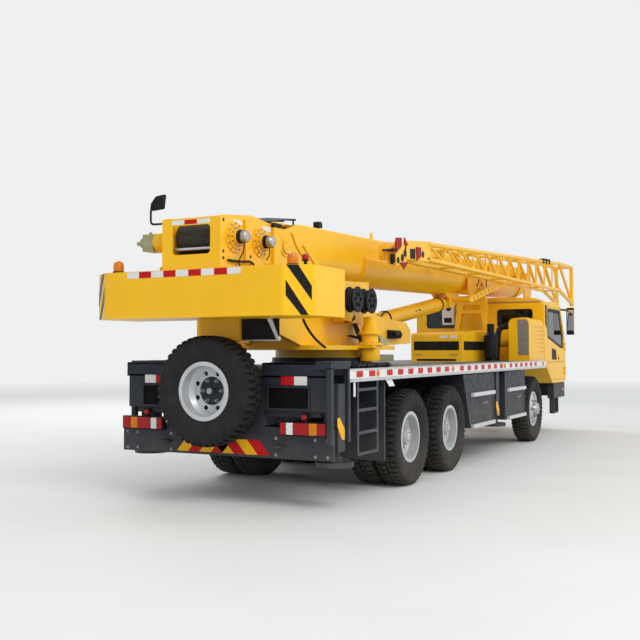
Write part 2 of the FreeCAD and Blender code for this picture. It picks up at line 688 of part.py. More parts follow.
def outrigger(jack_x, beam_x):
    """Right-hand beam with its jack column, and the jack's rod with its pad."""
    x0 = beam_x - BEAM_WIDTH / 2
    x1 = beam_x + BEAM_WIDTH / 2
    inner_y = -BEAM_OUTER_Y + BEAM_LENGTH
    beam = box(x0, x1, -BEAM_OUTER_Y, inner_y, BEAM_BOTTOM_Z, BEAM_BOTTOM_Z + BEAM_HEIGHT)
    beam = beam.cut(box(x0 + BEAM_WALL, x1 - BEAM_WALL, -BEAM_OUTER_Y + BEAM_WALL,
                        inner_y + 1, BEAM_BOTTOM_Z + BEAM_WALL,
                        BEAM_BOTTOM_Z + BEAM_HEIGHT - BEAM_WALL))
    half = JACK_COLUMN / 2
    column = box(beam_x - half, beam_x + half, -JACK_COLUMN_Y - half, -JACK_COLUMN_Y + half,
                 JACK_COLUMN_BOTTOM_Z, JACK_COLUMN_TOP_Z)
    column = column.cut(rod((beam_x, -JACK_COLUMN_Y, JACK_COLUMN_BOTTOM_Z - 1),
                            (beam_x, -JACK_COLUMN_Y, JACK_COLUMN_TOP_Z - 20),
                            JACK_ROD_RADIUS + JACK_GLAND_GAP))
    leg = rod((beam_x, -JACK_COLUMN_Y, PAD_BOTTOM_Z + PAD_THICKNESS - 5),
              (beam_x, -JACK_COLUMN_Y, JACK_COLUMN_TOP_Z - 30), JACK_ROD_RADIUS)
    pad = rod((beam_x, -JACK_COLUMN_Y, PAD_BOTTOM_Z),
              (beam_x, -JACK_COLUMN_Y, PAD_BOTTOM_Z + PAD_THICKNESS), PAD_RADIUS)
    collar = rod((beam_x, -JACK_COLUMN_Y, PAD_BOTTOM_Z + PAD_THICKNESS),
                 (beam_x, -JACK_COLUMN_Y, PAD_BOTTOM_Z + PAD_THICKNESS + 50), JACK_ROD_RADIUS + 22)
    return fuse(beam, column), fuse(leg, pad, collar)


def outriggers():
    for name, jack_x in (("front", FRONT_JACK_X), ("rear", REAR_JACK_X)):
        beam, jack = outrigger(jack_x, jack_x)
        save(name + "_beam_right", beam)
        save(name + "_jack_right", jack)
        beam, jack = outrigger(jack_x, jack_x + BEAM_PITCH)
        save(name + "_beam_left", mirrored(beam))
        save(name + "_jack_left", mirrored(jack))


def deck():
    plate = box(DECK_REAR_X, DECK_FRONT_X, -DECK_HALF_WIDTH + DECK_RAIL_WIDTH,
                DECK_HALF_WIDTH - DECK_RAIL_WIDTH, FRAME_TOP_Z, DECK_TOP_Z)
    plate = plate.cut(Part.makeCylinder(RING_OUTER_RADIUS, DECK_THICKNESS,
                                        V(SLEW_X, 0, FRAME_TOP_Z)))
    rail = box(DECK_REAR_X, DECK_FRONT_X, DECK_HALF_WIDTH - DECK_RAIL_WIDTH, DECK_HALF_WIDTH,
               DECK_RAIL_BOTTOM_Z, DECK_TOP_Z)
    beams = [box(x, x + 60, -DECK_HALF_WIDTH + DECK_RAIL_WIDTH, DECK_HALF_WIDTH - DECK_RAIL_WIDTH,
                 TOOL_BOX_TOP_Z, FRAME_TOP_Z).cut(
        box(x - 1, x + 61, -half, half, TOOL_BOX_TOP_Z - 1, FRAME_TOP_Z + 1))
        for x, half in ((AXLE_2_X + 640, FRAME_HALF_WIDTH), (AXLE_2_X + 1500, FRAME_HALF_WIDTH),
                        (AXLE_2_X + 2480, FRAME_HALF_WIDTH), (AXLE_1_X - 1000, RAIL_HALF_WIDTH))]
    hatches = [box(x0, x1, y0, y0 + 340, DECK_TOP_Z, DECK_TOP_Z + 12) for x0, x1, y0 in (
        (AXLE_2_X + 800, AXLE_2_X + 1500, -1180), (AXLE_2_X + 800, AXLE_2_X + 1500, 840),
        (AXLE_2_X + 2500, AXLE_2_X + 3100, -1180))]
    save("deck", fuse(plate, rail, mirrored(rail), *beams, *hatches))
    save("slewing_ring", Part.makeCylinder(RING_OUTER_RADIUS, RING_SPLIT_Z - DECK_TOP_Z - 20,
                                           V(SLEW_X, 0, DECK_TOP_Z + 20)).cut(
        Part.makeCylinder(RING_INNER_RADIUS, 200, V(SLEW_X, 0, DECK_TOP_Z))))


def engine():
    block = box(AXLE_1_X - 1150, AXLE_1_X - 120, -330, 330, 700, 1270)
    reach = RAIL_HALF_WIDTH - RAIL_WEB
    arms = [box(x, x + 100, -reach, reach, 900, 960) for x in (AXLE_1_X - 1050, AXLE_1_X - 500)]
    save("engine_block", fuse(block, *arms))
    x0 = AXLE_1_X - 1375
    x1 = AXLE_1_X + 350
    hood = prism("y", [(x0, DECK_TOP_Z), (x0, 1800, 60), (x1, 1860, 40), (x1, DECK_TOP_Z)],
                 -430, 430)
    hood = hood.cut(box(x0 + 25, x1 - 25, -405, 405, DECK_TOP_Z - 1, 1770))
    hood = hood.cut(box(x0 - 1, x0 + 30, -380, 380, 1525, 1665))
    hood = hood.cut(box(x0 + 90, x1 - 300, -431, 431, 1525, 1665))
    louvres = [box(x0 + 5, x0 + 20, -382, 382, z, z + 12) for z in (1560, 1595, 1630)]
    save("engine_hood", fuse(hood, *louvres))


def boom_rest():
    x0 = AXLE_1_X + 470
    x1 = x0 + 120
    top = boom_point(x1 - BOOM_PIVOT_X, 0, BOOM_BOTTOM)[2] - 10
    frame = prism("x", [(-380, DECK_TOP_Z), (-250, top), (250, top), (380, DECK_TOP_Z)], x0, x1)
    holes = [prism("x", [(-290, DECK_TOP_Z - 1), (-255, 1800), (255, 1800), (290, DECK_TOP_Z - 1)],
                   x0 - 1, x1 + 1),
             prism("x", [(-235, 1880, 20), (-180, 2180, 20), (180, 2180, 20), (235, 1880, 20)],
                   x0 - 1, x1 + 1),
             prism("x", [(-165, 2240, 20), (-150, 2330, 20), (150, 2330, 20), (165, 2240, 20)],
                   x0 - 1, x1 + 1)]
    for hole in holes:
        frame = frame.cut(hole)
    save("boom_rest", frame)


# Driver's cab

CAB_SIDE = [
    (CAB_REAR_X, DECK_TOP_Z + 20),
    (CAB_REAR_X, CAB_ROOF_Z - 10, 60),
    (CAB_REAR_X + 900, CAB_ROOF_Z),
    (CAB_FRONT_X - 420, CAB_ROOF_Z - 20, 200),
    (CAB_FRONT_X - 60, 1780, 150),
    (CAB_FRONT_X, 1600, 100),
    (CAB_FRONT_X, CAB_FLOOR_Z, 40),
    (CAB_REAR_X + 610, CAB_FLOOR_Z),
    (CAB_REAR_X + 30, DECK_TOP_Z - 30),
]
DOOR_SIDE = [
    (CAB_REAR_X + 640, CAB_FLOOR_Z + 60),
    (CAB_REAR_X + 230, 1330, 30),
    (CAB_REAR_X + 230, CAB_ROOF_Z - 100, 60),
    (CAB_FRONT_X - 440, CAB_ROOF_Z - 110, 60),
    (CAB_FRONT_X - 150, 1750, 60),
    (CAB_FRONT_X - 110, CAB_FLOOR_Z + 60, 30),
]
DOOR_WINDOW = [
    (CAB_REAR_X + 300, 1780, 40),
    (CAB_REAR_X + 300, CAB_ROOF_Z - 170, 40),
    (CAB_FRONT_X - 480, CAB_ROOF_Z - 180, 40),
    (CAB_FRONT_X - 230, 1760, 40),
    (CAB_FRONT_X - 230, 1600, 40),
    (CAB_FRONT_X - 420, 1600, 40),
]


def grown(corners, by):
    """Same outline moved out by a margin on every side, its corners square."""
    wire = outline([corner[:2] for corner in corners])
    larger = wire.makeOffset2D(by, 2)
    points = [(edge.Curve.value(edge.FirstParameter).x, edge.Curve.value(edge.FirstParameter).y)
              for edge in larger.OrderedEdges]
    return points


def cab_hinges():
    """Hinge pins on the cab's side and the knuckles that the left door turns on."""
    x = CAB_FRONT_X - CAB_HINGE_SETBACK
    y = CAB_HALF_WIDTH + CAB_HINGE_RADIUS + 2
    pins = []
    knuckles = []
    for z in (1100, 1560):
        pin = rod((x, y, z - 40), (x, y, z + 100), CAB_HINGE_RADIUS / 2)
        ears = [shape for low in (z - 40, z + 62) for shape in
                (rod((x, y, low), (x, y, low + 38), CAB_HINGE_RADIUS),
                 box(x, x + 45, CAB_HALF_WIDTH, y + CAB_HINGE_RADIUS, low, low + 38))]
        pins.append(fuse(pin, *ears))
        barrel = fuse(rod((x, y, z), (x, y, z + 60), CAB_HINGE_RADIUS),
                      box(x - 60, x, CAB_HALF_WIDTH, y, z, z + 60))
        knuckles.append(barrel.cut(rod((x, y, z - 1), (x, y, z + 61),
                                       CAB_HINGE_RADIUS / 2 + RUNNING_CLEARANCE)))
    return pins, knuckles


def seat(x, y, floor_z, cushion_z, half_width):
    """Seat facing forward: its back at x, with a headrest, on a pedestal."""
    side = [(x + 60, cushion_z), (x + 500, cushion_z, 40), (x + 520, cushion_z + 130, 50),
            (x + 170, cushion_z + 110, 50), (x + 50, cushion_z + 620, 40),
            (x - 60, cushion_z + 610, 40)]
    rest = [(x - 70, cushion_z + 640, 20), (x + 20, cushion_z + 650, 40),
            (x - 10, cushion_z + 820, 40), (x - 90, cushion_z + 810, 30)]
    pedestal = box(x + 140, x + 440, y - 150, y + 150, floor_z, cushion_z)
    stems = [rod((x - 25, y + side_y, cushion_z + 580), (x - 35, y + side_y, cushion_z + 680), 8)
             for side_y in (-70, 70)]
    return fuse(prism("y", side, y - half_width, y + half_width),
                prism("y", rest, y - 130, y + 130), pedestal, *stems)


def cab():
    half = CAB_HALF_WIDTH
    shell = prism("y", CAB_SIDE, -half, half)
    inner = [(CAB_REAR_X + CAB_SKIN, DECK_TOP_Z + 10),
             (CAB_REAR_X + CAB_SKIN, CAB_ROOF_Z - 10 - CAB_SKIN, 40),
             (CAB_FRONT_X - 440, CAB_ROOF_Z - 20 - CAB_SKIN, 160),
             (CAB_FRONT_X - 60 - CAB_SKIN, 1780, 110),
             (CAB_FRONT_X - CAB_SKIN, 1600, 60),
             (CAB_FRONT_X - CAB_SKIN, CAB_FLOOR_Z + CAB_SKIN),
             (CAB_REAR_X + 640, CAB_FLOOR_Z + CAB_SKIN)]
    shell = shell.cut(prism("y", inner, -half + CAB_SKIN, half - CAB_SKIN))
    opening = prism("y", grown(DOOR_SIDE, CAB_DOOR_GAP), -half - 1, half + 1)
    shell = shell.cut(opening)
    rear_windows = prism("x", [(-1000, 1930, 60), (-350, 1930, 60), (-350, 2260, 60),
                               (-1000, 2260, 60)], CAB_REAR_X - 1, CAB_REAR_X + CAB_SKIN + 1)
    shell = shell.cut(rear_windows).cut(mirrored(rear_windows))
    windshield = prism("x", [(-1050, 1560, 80), (1050, 1560, 80), (1000, 2300, 80),
                             (-1000, 2300, 80)], CAB_FRONT_X - 420, CAB_FRONT_X + 10)
    shell = shell.cut(windshield)
    for z in range(GRILLE_BOTTOM_Z, GRILLE_TOP_Z, GRILLE_PITCH):
        shell = shell.cut(box(CAB_FRONT_X - GRILLE_DEPTH, CAB_FRONT_X + 1, -GRILLE_HALF_WIDTH,
                              GRILLE_HALF_WIDTH, z, z + GRILLE_SLOT))
    visor = prism("y", [(CAB_FRONT_X - 600, CAB_ROOF_Z - 40), (CAB_FRONT_X - 440, CAB_ROOF_Z - 70),
                        (CAB_FRONT_X - 190, CAB_ROOF_Z - 130), (CAB_FRONT_X - 180, CAB_ROOF_Z - 108),
                        (CAB_FRONT_X - 440, CAB_ROOF_Z - 28), (CAB_FRONT_X - 600, CAB_ROOF_Z + 2)],
                  -1080, 1080)
    shell = shell.fuse(visor)
    shell_hinges, door_hinges = cab_hinges()
    save("cab_shell", fuse(shell, *mirrors(), *both_sides(*shell_hinges)))
    window = prism("y", DOOR_WINDOW, half - CAB_SKIN - 1, half + 1)
    handle = prism("y", [(CAB_FRONT_X - 640, 1300, 20), (CAB_FRONT_X - 640, 1440, 20),
                         (CAB_FRONT_X - 560, 1440, 20), (CAB_FRONT_X - 540, 1300, 20)],
                   half - 15, half + 1)
    door = prism("y", DOOR_SIDE, half - CAB_SKIN, half).cut(window).cut(handle)
    door = fuse(door, *door_hinges)
    save("cab_door_left", door)
    save("cab_door_right", mirrored(door))
    seats = [seat(CAB_REAR_X + 640, y, CAB_FLOOR_Z + CAB_SKIN, 1300, 240) for y in (-600, 600)]
    dash = prism("y", [(CAB_FRONT_X - 330, 1250), (CAB_FRONT_X - 330, 1500, 40),
                       (CAB_FRONT_X - CAB_SKIN - 5, 1540), (CAB_FRONT_X - CAB_SKIN, 1250)],
                 -half + CAB_SKIN + 20, half - CAB_SKIN - 20)
    column = rod((CAB_FRONT_X - 320, 600, 1400), (CAB_FRONT_X - 440, 600, 1600), 25)
    wheel = ring_bar(STEERING_WHEEL_RADIUS, 16, 360)
    wheel.rotate(V(0, 0, 0), V(1, 0, 0), 90)
    wheel.rotate(V(0, 0, 0), V(0, -1, 0), STEERING_WHEEL_TILT)
    wheel.translate(V(CAB_FRONT_X - 440, 600, 1600))
    spoke = rod((CAB_FRONT_X - 440, 600 - STEERING_WHEEL_RADIUS, 1600),
                (CAB_FRONT_X - 440, 600 + STEERING_WHEEL_RADIUS, 1600), 14)
    save("cab_interior", *seats, fuse(dash, column, wheel, spoke))


def front_end():
    half = CAB_HALF_WIDTH
    bumper = prism("z", [(CAB_REAR_X + 700, -half), (CAB_FRONT_X - 120, -half),
                         (CAB_FRONT_X + 60, -half + 180, 120), (CAB_FRONT_X + 60, half - 180, 120),
                         (CAB_FRONT_X - 120, half), (CAB_REAR_X + 700, half)], 640,
                   CAB_FLOOR_Z - 10)
    bumper = bumper.cut(box(CAB_REAR_X + 600, CAB_FRONT_X - 40, -half + 120, half - 120, 600,
                            CAB_FLOOR_Z + 1))
    lamp_x = CAB_FRONT_X + 60
    for y in (-860, -690, 690, 860):
        bumper = bumper.cut(rod((lamp_x - 30, y, 780), (lamp_x + 1, y, 780), HEADLAMP_RADIUS))
        bumper = bumper.fuse(rod((lamp_x - 31, y, 780), (lamp_x - 6, y, 780), HEADLAMP_RADIUS - 8))
    bumper = bumper.cut(box(lamp_x - 20, lamp_x + 1, -420, 420, 700, 850))
    carrier = box(FRAME_FRONT_X, CAB_FRONT_X - 40, -RAIL_HALF_WIDTH, RAIL_HALF_WIDTH, 660, 860)
    steps = []
    for side in (-1, 1):
        y0, y1 = sorted((side * (half - 90), side * (half - 10)))
        for x in (CAB_REAR_X + 720, CAB_REAR_X + 1060):
            steps.append(box(x, x + 40, y0, y1, 380, 640))
        steps.append(box(CAB_REAR_X + 720, CAB_REAR_X + 1100, y0, y1, 360, 390))
    save("front_bumper", fuse(bumper, carrier, *steps))


def mirrors():
    half = CAB_HALF_WIDTH
    mirror = fuse(
        rod((CAB_FRONT_X - 400, half - 20, 2290), (CAB_FRONT_X - 20, half + 120, 2280), 16),
        rod((CAB_FRONT_X - 20, half + 120, 2300), (CAB_FRONT_X - 20, half + 120, 1830), 14),
        box(CAB_FRONT_X - 60, CAB_FRONT_X - 20, half + 50, half + 180, 1860, 2230))
    return [mirror, mirrored(mirror)]


def air_intake():
    """Upright intake housing on the right with louvre slots, and the duct to the engine."""
    x0 = AXLE_1_X - 165
    x1 = CAB_REAR_X - 40
    cover = prism("x", [(-1200, DECK_TOP_Z), (-1200, INTAKE_TOP_Z, 110), (-850, INTAKE_TOP_Z - 30, 90),
                        (-850, DECK_TOP_Z)], x0, x1)
    for z in range(1480, 1960, INTAKE_SLOT_PITCH):
        cover = cover.cut(box(x0 + 330, x1 - 90, -1201, -1185, z, z + 28))
    belt = prism("x", [(-1206, DECK_TOP_Z), (-1206, INTAKE_TOP_Z + 6, 116),
                       (-844, INTAKE_TOP_Z - 24, 96), (-844, DECK_TOP_Z)], x0 + 200, x0 + 270)
    duct = rod((x0 + 315, -850, 1650), (x0 + 315, -430, 1650), 70)
    save("air_intake", fuse(cover, belt, duct))
    silencer = rod((AXLE_1_X - 500, -640, DECK_TOP_Z + 60), (AXLE_1_X - 500, -640, 1760), 115)
    cone = Part.makeCone(115, 60, 60, V(AXLE_1_X - 500, -640, 1760))
    stack = rod((AXLE_1_X - 500, -640, 1800), (AXLE_1_X - 500, -640, 1960), 60)
    feet = [box(AXLE_1_X - 600, AXLE_1_X - 400, y, y + 20, DECK_TOP_Z, DECK_TOP_Z + 140)
            for y in (-720, -580)]
    header = rod((AXLE_1_X - 290, -560, DECK_TOP_Z), (AXLE_1_X - 290, -560, 1800), 40)
    save("exhaust", fuse(silencer, cone, stack, *feet), header)


# Side equipment

def side_bay(name):
    """Start and end along x, and the frame's half width behind, of a bay between axles and jacks."""
    if name == "rear":
        return AXLE_2_X + 410, FRONT_JACK_X - 175, FRAME_HALF_WIDTH
    return FRONT_JACK_X + 380, AXLE_1_X - 675, RAIL_HALF_WIDTH


def bay_arms(name):
    """Arms from the frame that carry what stands in a left bay."""
    x0, x1, frame_y = side_bay(name)
    return [box(x, x + 80, frame_y, TOOL_BOX_INNER_Y + 10, 1000, 1100)
            for x in (x0 + 300, x1 - 200)]


def tool_box(name, slope):
    x0, x1, _ = side_bay(name)
    store = prism("y", [(x0 + slope, TOOL_BOX_BOTTOM_Z, 20), (x0, TOOL_BOX_TOP_Z, 20),
                        (x1, TOOL_BOX_TOP_Z, 20), (x1, TOOL_BOX_BOTTOM_Z, 20)],
                  TOOL_BOX_INNER_Y, TOOL_BOX_OUTER_Y)
    lid = prism("y", [(x0 + slope + 35, TOOL_BOX_BOTTOM_Z + 40, 20),
                      (x0 + 40 + slope * 0.42, 860, 20), (x1 - 40, 860, 20),
                      (x1 - 40, TOOL_BOX_BOTTOM_Z + 40, 20)],
                TOOL_BOX_OUTER_Y - 8, TOOL_BOX_OUTER_Y + 1)
    return fuse(store.cut(lid), *bay_arms(name))


def fuel_tank():
    """Rounded tank with two straps, its cap on top."""
    x0, x1, _ = side_bay("front")
    y0 = TOOL_BOX_INNER_Y
    y1 = TOOL_BOX_OUTER_Y - STRAP_THICKNESS
    z0 = FUEL_TANK_BOTTOM_Z
    z1 = TOOL_BOX_TOP_Z - 40
    corner = FUEL_TANK_CORNER
    tank = prism("x", [(y0, z0, corner), (y1, z0, corner), (y1, z1, corner), (y0, z1, corner)],
                 x0 + 40, x1 - 40)
    wide = STRAP_THICKNESS
    straps = [prism("x", [(y0 - wide, z0 - wide, corner + wide), (y1 + wide, z0 - wide, corner + wide),
                          (y1 + wide, z1 + wide, corner + wide), (y0 - wide, z1 + wide, corner + wide)],
                    x, x + STRAP_WIDTH) for x in (x0 + 310, x1 - 190)]
    cap = rod((x1 - 350, 1000, z1 - 5), (x1 - 350, 1000, z1 + 30), 55)
    return fuse(tank, *straps, cap, *bay_arms("front"))


def side_boxes():
    """Tool boxes, the fuel tank in the left front bay, mudguards and steps."""
    rear = tool_box("rear", 300)
    save("side_equipment", rear, mirrored(rear), mirrored(tool_box("front", 0)), fuel_tank(),
         *mudguards())
    steps = []
    for name, indent, sides in (("rear", 340, (-1, 1)), ("front", 120, (-1,))):
        x0, x1, _ = side_bay(name)
        for z in (TOOL_BOX_BOTTOM_Z, 900):
            for side in sides:
                y0, y1 = sorted((side * TOOL_BOX_OUTER_Y, side * (TOOL_BOX_OUTER_Y + STEP_DEPTH)))
                steps.append(box(x0 + indent, x1 - 70, y0, y1, z, z + STEP_HEIGHT))
    save("steps_and_ladders", *steps, *ladders())


def mudguards():
    """Flat guard under the deck with its flaps before and behind the twin axles, on each side."""
    solids = []
    for side in (-1, 1):
        y0, y1 = sorted((side * 640, side * (DECK_HALF_WIDTH - DECK_RAIL_WIDTH)))
        roof = box(AXLE_3_X - 820, AXLE_2_X + 400, y0, y1, FRAME_TOP_Z - 40, FRAME_TOP_Z)
        rear_flap = box(AXLE_3_X - 820, AXLE_3_X - 790, y0, y1, FLAP_BOTTOM_Z, FRAME_TOP_Z)
        front_flap = prism("y", [(AXLE_2_X + 370, FRAME_TOP_Z), (AXLE_2_X + 400, FRAME_TOP_Z),
                                 (AXLE_2_X + 660, FLAP_FRONT_Z), (AXLE_2_X + 630, FLAP_FRONT_Z)],
                           *sorted((side * 640, side * (TOOL_BOX_INNER_Y - 2))))
        solids.append(fuse(roof, rear_flap, front_flap))
    return solids


def ladders():
    """Ladder to the deck at the rear on each side."""
    x0 = AXLE_3_X - 1480
    x1 = AXLE_3_X - 960
    solids = []
    for side in (-1, 1):
        y0, y1 = sorted((side * 1190, side * 1230))
        stiles = [box(x, x + 40, y0, y1, 475, FRAME_TOP_Z) for x in (x0, x1 - 40)]
        rungs = [box(x0, x1, y0, y1, z - 15, z + 15) for z in (490, 700, 925, 1130)]
        solids.append(fuse(*stiles, *rungs))
    return solids


def rear_end():
    x = FRAME_REAR_X
    wall = REAR_END_PLATE
    cross = box(x - wall, x, -1240, 1240, 480, 780)
    posts = [box(x - wall, x, y - 60, y + 60, 780, FRAME_TOP_Z) for y in (-420, 420)]
    upper = [box(x - wall, x, -1170, -460, 940, FRAME_TOP_Z),
             box(x - wall, x, 460, 1170, 940, FRAME_TOP_Z)]
    seat_x = REAR_X + SPARE_X + SPARE_DISH - RIM_WIDTH / 2 + SPARE_DISC
    carrier = fuse(rod((seat_x, 0, SPARE_Z), (seat_x + 30, 0, SPARE_Z), 170),
                   rod((seat_x, 0, SPARE_Z), (x, 0, SPARE_Z), 80))
    return [cross, *posts, *upper, box(x - wall, x, -480, 480, 1040, 1220), carrier]


def tail_lamps():
    x = FRAME_REAR_X
    lamps = []
    for side in (-1, 1):
        y0, y1 = sorted((side * 690, side * 1210))
        lamps.append(box(x - REAR_END_PLATE - 45, x - REAR_END_PLATE, y0, y1, 710, 780))
    save("tail_lamps", *lamps)


# Superstructure

def side_plate():
    x = AXLE_3_X
    points = [
        (REAR_X + 25, COUNTERWEIGHT_TOP_Z),
        (REAR_X + 25, 2800, 30),
        (x - 2050, 2860, 30),
        (BOOM_PIVOT_X - 60, 2800, 60),
        (BOOM_PIVOT_X + 220, 2760, 60),
        (x + 360, 2020, 200),
        (x + 2080, 1900, 60),
        (x + 2230, 1800, 40),
        (x + 2230, 1620, 40),
        (x + 1180, TURNTABLE_BOTTOM_Z + 50),
        (x - 1000, TURNTABLE_BOTTOM_Z + 50),
        (COUNTERWEIGHT_FRONT_X, 1780, 40),
        (COUNTERWEIGHT_FRONT_X, COUNTERWEIGHT_TOP_Z),
    ]
    return prism("y", points, SIDE_PLATE_Y, SIDE_PLATE_Y + SIDE_PLATE)


def pivot_pins():
    """Pins of the boom's foot and of the luffing cylinder, through both side plates."""
    reach = SIDE_PLATE_Y + SIDE_PLATE
    return [rod((x, -reach - proud, z), (x, reach + proud, z), radius)
            for x, z, radius, proud in ((BOOM_PIVOT_X, BOOM_PIVOT_Z, BOOM_PIN_RADIUS, 20),
                                        (CYLINDER_BASE_X, CYLINDER_BASE_Z, EYE_PIN_RADIUS, 15))]


def side_plates():
    """Left and right plate with the winch shafts, bored for the pins."""
    plate = side_plate()
    outer = SIDE_PLATE_Y + SIDE_PLATE
    bosses = [rod((x, SIDE_PLATE_Y, z), (x, outer + 12, z), radius + 45)
              for x, z, radius in ((BOOM_PIVOT_X, BOOM_PIVOT_Z, BOOM_PIN_RADIUS),
                                   (CYLINDER_BASE_X, CYLINDER_BASE_Z, EYE_PIN_RADIUS))]
    shafts = [rod((x, outer, WINCH_Z), (x, WINCH_SHAFT_END_Y, WINCH_Z),
                  DRUM_SHAFT_RADIUS - RUNNING_CLEARANCE) for x in (REAR_WINCH_X, FRONT_WINCH_X)]
    left = fuse(plate, *bosses, *shafts)
    for pin in pivot_pins():
        left = left.cut(pin)
    save("side_plates", *both_sides(left))


def turntable():
    """Base plate on the ring with the webs between the side plates and the two pivot pins."""
    base = prism("z", [(SLEW_X - 1150, -620, 200), (SLEW_X + 1050, -620, 300),
                       (SLEW_X + 1050, 620, 300), (SLEW_X - 1150, 620, 200)],
                 TURNTABLE_BOTTOM_Z, TURNTABLE_TOP_Z)
    ring = Part.makeCylinder(RING_OUTER_RADIUS - 40, TURNTABLE_BOTTOM_Z - RING_SPLIT_Z - RING_GAP,
                             V(SLEW_X, 0, RING_SPLIT_Z + RING_GAP)).cut(
        Part.makeCylinder(RING_INNER_RADIUS, 200, V(SLEW_X, 0, RING_SPLIT_Z)))
    inner = SIDE_PLATE_Y
    web = box(SLEW_X - 1150, SLEW_X - 1110, -inner, inner, TURNTABLE_TOP_Z, 2150)
    drive_plate = box(SLEW_X - 300, SLEW_X + 200, -820, -600, TURNTABLE_BOTTOM_Z + 20, TURNTABLE_TOP_Z)
    cab_arms = [box(SLEW_X + dx, SLEW_X + dx + 90, 600, 1180, TURNTABLE_BOTTOM_Z, TURNTABLE_TOP_Z)
                for dx in (-800, 500)]
    nose_web = box(AXLE_3_X + 2150, AXLE_3_X + 2190, -inner, inner, 1640, 1780)
    hanger = fuse(box(COUNTERWEIGHT_FRONT_X, COUNTERWEIGHT_FRONT_X + 40, -inner, inner, 1780,
                      COUNTERWEIGHT_TOP_Z - 60),
                  box(REAR_X + 620, COUNTERWEIGHT_FRONT_X, -170, inner, 1600, COUNTERWEIGHT_BOTTOM_Z))
    hatch = box(REAR_X + 25, REAR_X + 45, -inner, inner, COUNTERWEIGHT_TOP_Z, 2790)
    hatch = hatch.cut(prism("x", [(-220, 2440, 40), (220, 2440, 40), (220, 2720, 40),
                                  (-220, 2720, 40)], REAR_X, REAR_X + 60))
    save("turntable", fuse(base, ring, web, drive_plate, *cab_arms), nose_web, hanger, hatch,
         *pivot_pins())


def counterweight():
    weight = prism("z", [(REAR_X, -1020, 60), (REAR_X + 175, -COUNTERWEIGHT_HALF_WIDTH, 60),
                         (COUNTERWEIGHT_FRONT_X, -COUNTERWEIGHT_HALF_WIDTH),
                         (COUNTERWEIGHT_FRONT_X, COUNTERWEIGHT_HALF_WIDTH),
                         (REAR_X + 175, COUNTERWEIGHT_HALF_WIDTH, 60), (REAR_X, 1020, 60)],
                   COUNTERWEIGHT_BOTTOM_Z, COUNTERWEIGHT_TOP_Z)
    save("counterweight", weight)


def winches():
    half = SIDE_PLATE_Y - 10
    for name, x in (("rear", REAR_WINCH_X), ("front", FRONT_WINCH_X)):
        drum = revolve_y([(DRUM_SHAFT_RADIUS, -half), (DRUM_FLANGE_RADIUS, -half),
                          (DRUM_FLANGE_RADIUS, -half + 25), (DRUM_RADIUS, -half + 25),
                          (DRUM_RADIUS, half - 25), (DRUM_FLANGE_RADIUS, half - 25),
                          (DRUM_FLANGE_RADIUS, half), (DRUM_SHAFT_RADIUS, half)], x, 0, WINCH_Z)
        save(name + "_winch_drum", drum)
    outer = SIDE_PLATE_Y + SIDE_PLATE
    gear = []
    for x in (REAR_WINCH_X, FRONT_WINCH_X):
        gear.append(fuse(rod((x, -outer, WINCH_Z), (x, -outer - 30, WINCH_Z), 110),
                         rod((x, -outer - 30, WINCH_Z), (x, -outer - 60, WINCH_Z), 70)))
        gear.append(fuse(rod((x, outer, WINCH_Z), (x, outer + 60, WINCH_Z), 120),
                         rod((x, outer + 60, WINCH_Z), (x, outer + 330, WINCH_Z), 85)))
    save("winch_gear", *gear)


def slew_drive():
    x = SLEW_X - 150
    y = -710
    z = TURNTABLE_BOTTOM_Z + 50
    body = fuse(rod((x, y, z), (x, y, z + 40), 120), rod((x, y, z + 40), (x, y, z + 220), 95),
                rod((x, y, z + 220), (x, y, z + 330), 75))
    save("slew_drive", body)
    reels = []
    for x in (SLEW_X - 666, SLEW_X - 287):
        drum = revolve_y([(0, -REEL_HALF), (REEL_RADIUS, -REEL_HALF), (REEL_RADIUS, -REEL_HALF + 10),
                          (REEL_RADIUS - 45, -REEL_HALF + 10), (REEL_RADIUS - 45, REEL_HALF - 10),
                          (REEL_RADIUS, REEL_HALF - 10), (REEL_RADIUS, REEL_HALF), (0, REEL_HALF)],
                         x, REEL_Y, REEL_Z)
        for step in range(6):
            turn = math.radians(60 * step)
            window = (x + 66 * math.cos(turn), REEL_Z + 66 * math.sin(turn))
            drum = drum.cut(rod((window[0], REEL_Y - REEL_HALF - 1, window[1]),
                                (window[0], REEL_Y + REEL_HALF + 1, window[1]), 24))
        arm = rod((x, -SIDE_PLATE_Y - SIDE_PLATE, REEL_Z), (x, REEL_Y + REEL_HALF, REEL_Z), 30)
        reels.append(fuse(arm, drum))
    save("hose_reels", *reels)


# Operator's cab

OPERATOR_SIDE = [
    (OPERATOR_X, TURNTABLE_BOTTOM_Z + 50),
    (OPERATOR_X, 3090, 80),
    (OPERATOR_X + 1300, 3110, 120),
    (OPERATOR_X + 1720, 2300, 100),
    (OPERATOR_X + 1650, TURNTABLE_BOTTOM_Z + 50, 60),
]


